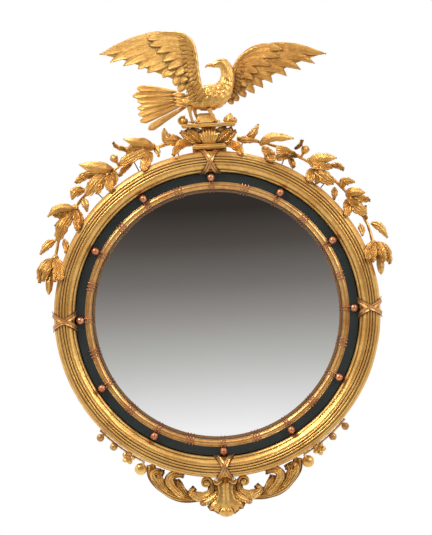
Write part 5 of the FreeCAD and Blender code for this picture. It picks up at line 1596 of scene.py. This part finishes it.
RIGHT_SPRAY = Spray("right", 1, {
    "upper": (
        Cut(((187, 355), (199, 363), (205, 374)), 10, 38, 46, 2),
        Cut(((175, 337), (180, 325), (182, 312)), 15, 36, 50, 4),
        Cut(((126, 356), (133, 338), (131.5, 326)), 27, 44, 75, 5),
        Cut(((191, 338), (165, 338), (145, 337)), 17, 42, 56, 5, TRUMPET),
        Cut(((116, 362), (128, 350), (141, 341)), 20, 50, 60, 6),
        Cut(((191, 341), (178, 347), (160, 352), (146, 353)), 23, 46, 62, 9, TRUMPET),
        Cut(((111, 368), (133, 381), (157, 381), (185, 377)), 21, 42, 60, 11, HOOD, HOOD_CARVING)),
    "middle": (
        Cut(((264, 316), (281, 313), (292, 303)), 15, 42, 50, 3),
        Cut(((234, 309), (234, 289), (230, 274)), 16, 40, 68, 4),
        Cut(((221, 310), (218, 291), (213.5, 278)), 23, 44, 77, 5),
        Cut(((225, 309), (247, 290), (268, 275)), 31, 46, 58, 10),
        Cut(((219, 318), (244, 314), (266, 310)), 21, 50, 62, 8),
        Cut(((217, 322), (236, 331), (258, 331), (277, 330)), 24, 42, 60, 12, HOOD, HOOD_CARVING)),
    "lower": (
        Cut(((338, 224), (330, 206), (338, 193)), 13, 40, 48, 3),
        Cut(((294, 238), (296, 216), (291, 199)), 20, 44, 75, 5),
        Cut(((299, 244), (315, 222), (337, 204)), 29, 46, 58, 10),
        Cut(((303, 248), (325, 240), (346, 234)), 19, 48, 58, 7),
        Cut(((299, 246), (307, 231), (320, 225)), 16, 54, 62, 5),
        Cut(((295, 253), (313, 254), (336, 251)), 21, 42, 58, 11, HOOD, HOOD_CARVING)),
}, (
    Cut(((358, 142), (377, 123), (384, 93)), 20, 40, 52, 7),
    Cut(((351, 142), (337, 124), (334, 101)), 21, 44, 82, 5),
    Cut(((356, 142), (366, 121), (370, 98)), 21, 46, 64, 9),
    Cut(((352, 142), (347, 119), (344, 97)), 20, 48, 78, 6),
), ((356, 44, 126), (361, 58, 98), (362.5, 60, 70)), (
    leaf(((62, 382), (88, 380), (110, 375)), 18, 30, 40),
    leaf(((82, 386), (97, 393), (110, 413)), 19, 32, 44),
    leaf(((271, 267), (270, 253), (268, 238)), 16, 34, 46),
    leaf(((289, 266), (294, 279), (316, 276)), 21, 34, 44),
    leaf(((348, 185), (366, 175), (382, 150)), 20, 32, 42),
    leaf(((323, 184), (326, 170), (326, 157)), 16, 34, 60)))


# ---- the apron


@dataclass(frozen=True)
class Apron:
    """The shield at the foot of the ring and the acanthus scroll, twig and berries at each side."""

    scroll_depth: float = 27.0
    twig_depth: float = 45.0

    MAIN = ((163, -324), (158, -347), (142, -370), (116, -390), (88, -399), (52, -402))
    LOBES = ((((92, -401), (112, -381), (123, -360), (112, -348), (90, -351)), 24, 5),
             (((85, -400), (97, -381), (103, -368), (105, -361)), 16, 3),
             (((136, -377), (151, -357), (154, -341), (134, -343)), 22, 4),
             (((128, -385), (140, -368), (145, -352), (137, -338)), 17, 6))
    CURL = ((41, -361), (30.5, -374), (33.5, -391), (50, -400), (66, -397), (76, -389), (67, -379))
    VOLUTE = (41.5, -369.5)
    VOLUTE_RADIUS = 11.5
    VOLUTE_START = -10
    VOLUTE_TURN = 430
    BERRIES = ((133.9, 13.5), (139.3, 9.5))
    ROSETTE = (145.5, 10)
    BALL = (151.0, 20)
    MAIN_OUTLINE = ((0, 0.45), (0.2, 0.80), (0.45, 1.0), (0.7, 0.88), (0.9, 0.55), (1, 0.25))
    CURL_OUTLINE = ((0, 0.30), (0.25, 0.50), (0.45, 0.85), (0.65, 1.0), (0.85, 0.7), (1, 0.18))
    SHIELD_OUTLINE = ((0, 0.50), (0.2, 0.62), (0.38, 0.56), (0.56, 0.70), (0.76, 0.98), (0.9, 0.94),
                      (1, 0.55))
    # X, drop under the rim and depth along the lobe and the small curl at each side of the shield.
    SIDE_LOBE = ((16, 30, 36), (34, 46, 40), (57, 54, 36))
    SIDE_CURL = ((8, 6, 42), (19, 12, 43), (25, 5, 41))
    MAIN_CARVING = Relief(arch=4.5, ribs=5, rib_height=3.0, ruffle=0.8, barb_pitch=7)
    LOBE_CARVING = Relief(arch=3.0, ribs=3, rib_height=2.6, ruffle=1.2, barb_pitch=6, tip_curl=3.0)
    CURL_CARVING = Relief(arch=3.5, ribs=3, rib_height=2.4, ruffle=0.8, barb_pitch=6, tip_curl=3.0)
    SHIELD_CARVING = Relief(arch=8, midrib=2.5, ribs=3, rib_height=2.2, ruffle=0.8, barb_pitch=9)
    # X, drop under the rim and width of the leaf tips at the shield's foot.
    TIPS = ((-36, 71, 17), (-19, 79, 17), (19, 80, 17), (37, 69, 17))

    def at(self, side: int, angle: float, out: float, depth: float) -> np.ndarray:
        """Returns a point of one side beside the rim."""
        return at_rim(side * angle, out, depth)

    def below(self, x: float, drop: float, depth: float) -> np.ndarray:
        """Returns a point under the rim's lowest point."""
        return place(x, depth, -Ring.RIM - drop)

    def scroll(self, side: int, word: str) -> None:
        """The long leaf with its lobes, the leaf that curls back, and the volute at its inner end."""
        deep = self.scroll_depth
        spine = [place(side * x, deep + 2, z) for x, z in self.MAIN]
        parts = [Bench.blade(spine, 27, self.MAIN_OUTLINE, self.MAIN_CARVING, 13, along=60, across=30)]
        for run, width, lift in self.LOBES:
            lobe = [place(side * x, deep + lift + step * 2.0, z) for step, (x, z) in enumerate(run)]
            parts.append(Bench.blade(lobe, width, ACANTHUS, self.LOBE_CARVING, 8, along=38, across=22))
        curl = [place(side * x, deep + 8 + 4 * math.sin(math.pi * step / 6), z)
                for step, (x, z) in enumerate(self.CURL)]
        parts.append(Bench.blade(curl, 23, self.CURL_OUTLINE, self.CURL_CARVING, 9, along=46, across=22))
        x, z = self.VOLUTE
        turns = []
        for share in np.linspace(0, 1, 16):
            angle = math.radians(self.VOLUTE_START + share * self.VOLUTE_TURN)
            radius = self.VOLUTE_RADIUS * (1 - share) ** 0.8 + 2.5 * share
            turns.append(place(side * (x - radius * math.cos(angle)), deep + 8 + 6 * share,
                               z + radius * math.sin(angle)))
        parts.append(Bench.tube(turns, ((0, 4.6), (0.4, 4.0), (1, 3.0)), 14, 90, flat=1.5, rub=0.6))
        parts.append(Bench.knob(place(side * x, deep + 13, z), 6.0, (1, 0.9, 1), 0.6))
        hand_over(parts, Finish.APRON, f"apron_scroll_{word}")

    def twig(self, side: int, word: str) -> None:
        """The twig on the rim, and its berries, flower and end ball."""
        deep = self.twig_depth
        run = [self.at(side, angle, 2.4, deep) for angle in (132.0, 138.0, 145.0, 151.0)]
        end = self.at(side, *self.BALL, deep)
        parts = [Bench.tube(run, ((0, 2.6), (0.5, 2.1), (1, 2.3)), 12, 50, flutes=2, flute_depth=0.1,
                            twist=5),
                 Bench.tube([run[-1], (run[-1] + end) / 2, end], ((0, 2.3), (1, 2.3)), 12, 12)]
        hand_over(parts, Finish.APRON, f"apron_twig_{word}")
        parts = [Bench.knob(self.at(side, angle, out, deep + 1), 8.6, (1, 0.9, 1), 0.85, 0.05)
                 for angle, out in self.BERRIES]
        heart = self.at(side, *self.ROSETTE, deep + 2)
        parts.append(Bench.knob(heart + np.array((0, -3, 0)), 5.5, rub=0.8))
        for turn in range(5):
            lean = math.radians(72 * turn + 20)
            way = np.array((math.sin(lean), 0, math.cos(lean)))
            petal = [heart, heart + way * 8 + np.array((0, -5, 0)), heart + way * 15.5 + np.array((0, -3, 0))]
            parts.append(Bench.blade(petal, 12.5, PETAL, Relief(arch=1.5, midrib=0.6, ribs=2, rib_height=0.7),
                                     2.6, along=16, across=12))
        ball = self.at(side, *self.BALL, deep - 6)
        parts.append(Bench.knob(ball, 13.4, (1, 0.85, 1), 0.5, 0.05))
        hand_over(parts, Finish.APRON, f"apron_berries_{word}")

    def shield(self) -> None:
        """The shield: a hollow-sided body with a ridge, a rolled lobe at each side and a jagged foot."""
        body = [self.below(0, 1, 34), self.below(0, 24, 38), self.below(0, 54, 40), self.below(0, 79, 36)]
        parts = [Bench.blade(body, 76, self.SHIELD_OUTLINE, self.SHIELD_CARVING, 26, along=40, across=36)]
        for side in (-1, 1):
            lobe = [self.below(side * x, drop, deep) for x, drop, deep in self.SIDE_LOBE]
            parts.append(Bench.blade(lobe, 20, ((0, 0.7), (0.5, 1.0), (0.85, 0.9), (1, 0.35)),
                                     Relief(arch=4, ribs=3, rib_height=2.2, barb_pitch=6), 14,
                                     along=26, across=20))
            parts.append(Bench.knob(self.below(side * 50, 55, 34), 7.0, (1.2, 1.5, 0.9), 1.0, 0.06))
            curl = [self.below(side * x, drop, deep) for x, drop, deep in self.SIDE_CURL]
            parts.append(Bench.tube(curl, ((0, 3.5), (0.6, 4.0), (1, 3.0)), 12, 20, rub=0.6))
        for x, drop, width in self.TIPS:
            tip = [self.below(x * 0.3, 46, 38), self.below(x * 0.8, 46 + (drop - 46) * 0.6, 43),
                   self.below(x, drop, 38)]
            parts.append(Bench.blade(tip, width, LEAF,
                                     Relief(arch=3, midrib=1.2, ribs=2, rib_height=1.4, barb_pitch=6), 12,
                                     along=24, across=18))
        tongue = [self.below(0, 62, 40), self.below(0, 74, 45), self.below(0, 85.5, 38)]
        parts.append(Bench.blade(tongue, 40, ((0, 0.4), (0.4, 0.9), (0.75, 0.95), (0.92, 0.7), (1, 0.3)),
                                 Relief(arch=4, midrib=1.5, ribs=3, rib_height=1.6, barb_pitch=6), 14,
                                 along=24, across=24))
        for spot, size in (((0, 32, 45), 2.6), ((-1, 56, 47), 3.4)):
            parts.append(Bench.knob(self.below(*spot), size, (1, 0.8, 1.3), 1.3, 0.06))
        hand_over(parts, Finish.APRON, "apron_cartouche")

    def build(self) -> None:
        """Makes the whole apron."""
        self.shield()
        for side, word in ((-1, "left"), (1, "right")):
            self.scroll(side, word)
            self.twig(side, word)


# ---- the nodes that keep their own shape

KEPT = {
    "ebonised_band": Finish.EBONISED, "ball_pegs": Finish.PINE, "rebate_felt": Finish.FELT,
    "glazing_blocks": Finish.PINE, "carcase_ring": Finish.PINE, "backboard": Finish.BOARD,
    "backboard_screws": Finish.STEEL, "hanger_strap_left": Finish.BRASS, "hanger_strap_right": Finish.BRASS,
    "d_ring_left": Finish.BRASS, "d_ring_right": Finish.BRASS, "hanger_screws": Finish.STEEL,
    "crest_iron_strap": Finish.IRON, "apron_iron_strap": Finish.IRON, "iron_strap_screws": Finish.STEEL,
    "wall_pads": Finish.FELT, "spray_pins": Finish.IRON,
}


def dress_kept(nodes: dict[str, bpy.types.Object]) -> None:
    """Gives each kept node its finish."""
    for name, finish in KEPT.items():
        node = nodes[name]
        node.data.materials.clear()
        node.data.materials.append(finish.material())


# ---- the studio


@dataclass(frozen=True)
class Studio:
    """Floor, light and camera."""

    distance: float = 5.0
    focus_depth: float = 0.05
    photo_scale: float = 2.195
    photo_height: int = 535
    sensor: float = 36.0
    tilt: float = 2.7
    aim_right: float = -2.85
    aim_up: float = 102.7
    floor_level: float = -0.62
    floor_size: float = 3.6
    card_radius: float = 6.2
    card_height: float = 8.6
    card_drop: float = 0.1
    card_bend: float = 110.0
    ambient: float = 0.48

    # Each soft box: name, place in metres, size, power and colour.
    LAMPS = (("key", (-1.7, -1.7, 2.3), 0.9, 66, (1.0, 0.98, 0.95)),
             ("fill", (2.1, -1.9, 1.4), 1.2, 28, (1, 1, 1)),
             ("crown", (0.2, 0.9, 2.6), 1.2, 26, (1, 1, 1)))
    # The card's brightness from its foot up, as shares of its ramp.
    CARD_RAMP = ((0.075, (0.950, 0.950, 0.950)), (0.211, (0.745, 0.745, 0.745)),
                 (0.351, (0.500, 0.506, 0.478)), (0.485, (0.311, 0.292, 0.279)),
                 (0.581, (0.188, 0.175, 0.165)), (0.715, (0.086, 0.075, 0.067)),
                 (0.845, (0.036, 0.030, 0.026)))

    def camera(self) -> None:
        """Sets the camera where the photograph was taken from."""
        data = bpy.data.cameras.new("camera")
        data.sensor_width = self.sensor
        data.lens = self.sensor * self.distance / (self.photo_height * self.photo_scale * MM)
        camera = bpy.data.objects.new("camera", data)
        bpy.context.scene.collection.objects.link(camera)
        lean = math.radians(self.tilt)
        x = (self.aim_right * math.cos(lean) + self.aim_up * math.sin(lean)) * MM
        z = (self.aim_up * math.cos(lean) - self.aim_right * math.sin(lean)) * MM
        camera.location = (x, -self.distance - self.focus_depth, z)
        camera.rotation_euler = (math.pi / 2, lean, 0)
        bpy.context.scene.camera = camera

    def lamp(self, name: str, spot: Sequence[float], size: float, power: float,
             colour: Sequence[float]) -> None:
        """Hangs one soft box that looks at the ring."""
        data = bpy.data.lights.new(name, "AREA")
        data.shape = "SQUARE"
        data.size = size
        data.energy = power
        data.color = colour
        lamp = bpy.data.objects.new(name, data)
        bpy.context.scene.collection.objects.link(lamp)
        lamp.location = spot
        way = -np.asarray(spot, float)
        lamp.rotation_euler = (math.atan2(math.hypot(way[0], way[1]), -way[2]), 0,
                               math.atan2(way[1], way[0]) - math.pi / 2)

    def floor(self) -> None:
        """A round pale floor that thins out at its edge."""
        Bench.clear()
        bpy.ops.mesh.primitive_grid_add(x_subdivisions=8, y_subdivisions=8, size=self.floor_size,
                                        location=(0, -1.0, self.floor_level))
        floor = bpy.context.object
        floor.name = "floor"
        nodes = Nodes("pale_floor")
        nodes.set(Base_Color=(0.86, 0.86, 0.85), Roughness=0.7)
        distance = nodes.node("ShaderNodeVectorMath", {"operation": "LENGTH"}, nodes.place, output="Value")
        nodes.set(Alpha=1 - distance.between(1.15, 1.72))
        floor.data.materials.append(nodes.material)
        floor.visible_glossy = False

    def card(self) -> None:
        """The tall graded card behind the camera, dark at the top, that the plate mirrors."""
        Bench.clear()
        bpy.ops.mesh.primitive_grid_add(x_subdivisions=12, y_subdivisions=12, size=1.0)
        card = bpy.context.object
        card.name = "graded_card"
        rows = Bench.points(card)
        bend = rows[:, 0] * math.radians(self.card_bend)
        Bench.move(card, np.column_stack([np.sin(bend) * self.card_radius, -np.cos(bend) * self.card_radius,
                                          rows[:, 1] * self.card_height - self.card_drop]))
        nodes = Nodes("graded_card")
        parts = nodes.tree.nodes.new("ShaderNodeSeparateXYZ")
        nodes.feed(parts.inputs[0], nodes.place)
        height = Value(nodes, parts.outputs["Z"]).between(-4.2, 4.2)
        ramp = nodes.node("ShaderNodeValToRGB", {"stops": self.CARD_RAMP}, height)
        nodes.set(Base_Color=(0, 0, 0), Roughness=1.0, Specular_IOR_Level=0.0, Emission_Color=ramp,
                  Emission_Strength=1.0)
        card.data.materials.append(nodes.material)
        card.visible_camera = False
        card.visible_transmission = False
        card.visible_shadow = False
        card.visible_diffuse = False

    def world(self) -> None:
        """White air for the camera and for mirrors, and a plain level of soft light."""
        world = bpy.data.worlds.new("air")
        world.use_nodes = True
        bpy.context.scene.world = world
        tree = world.node_tree
        tree.nodes.clear()
        path = tree.nodes.new("ShaderNodeLightPath")
        mix = tree.nodes.new("ShaderNodeMixShader")
        for index, (colour, strength) in enumerate((((0.95, 0.97, 1.0), self.ambient), ((1, 1, 1), 1.0)), 1):
            background = tree.nodes.new("ShaderNodeBackground")
            background.inputs["Color"].default_value = (*colour, 1)
            background.inputs["Strength"].default_value = strength
            tree.links.new(background.outputs[0], mix.inputs[index])
        seen = path.outputs["Is Camera Ray"]
        for ray in ("Is Glossy Ray", "Is Transmission Ray"):
            either = tree.nodes.new("ShaderNodeMath")
            either.operation = "MAXIMUM"
            tree.links.new(seen, either.inputs[0])
            tree.links.new(path.outputs[ray], either.inputs[1])
            seen = either.outputs[0]
        tree.links.new(seen, mix.inputs["Fac"])
        output = tree.nodes.new("ShaderNodeOutputWorld")
        tree.links.new(mix.outputs[0], output.inputs["Surface"])

    def build(self) -> None:
        """Sets the whole stage."""
        self.camera()
        self.floor()
        self.card()
        self.world()
        for lamp in self.LAMPS:
            self.lamp(*lamp)
        bpy.context.scene.view_settings.view_transform = "Standard"


def main() -> None:
    """Builds every sub-assembly in order and sets the stage."""
    logging.basicConfig(level=logging.INFO, format="%(message)s")
    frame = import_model()
    dress_kept(frame["nodes"])
    Ring().build()
    Eagle().build()
    Crest().build()
    LEFT_SPRAY.build()
    RIGHT_SPRAY.build()
    Apron().build()
    Studio().build()


if __name__ == "__main__":
    main()
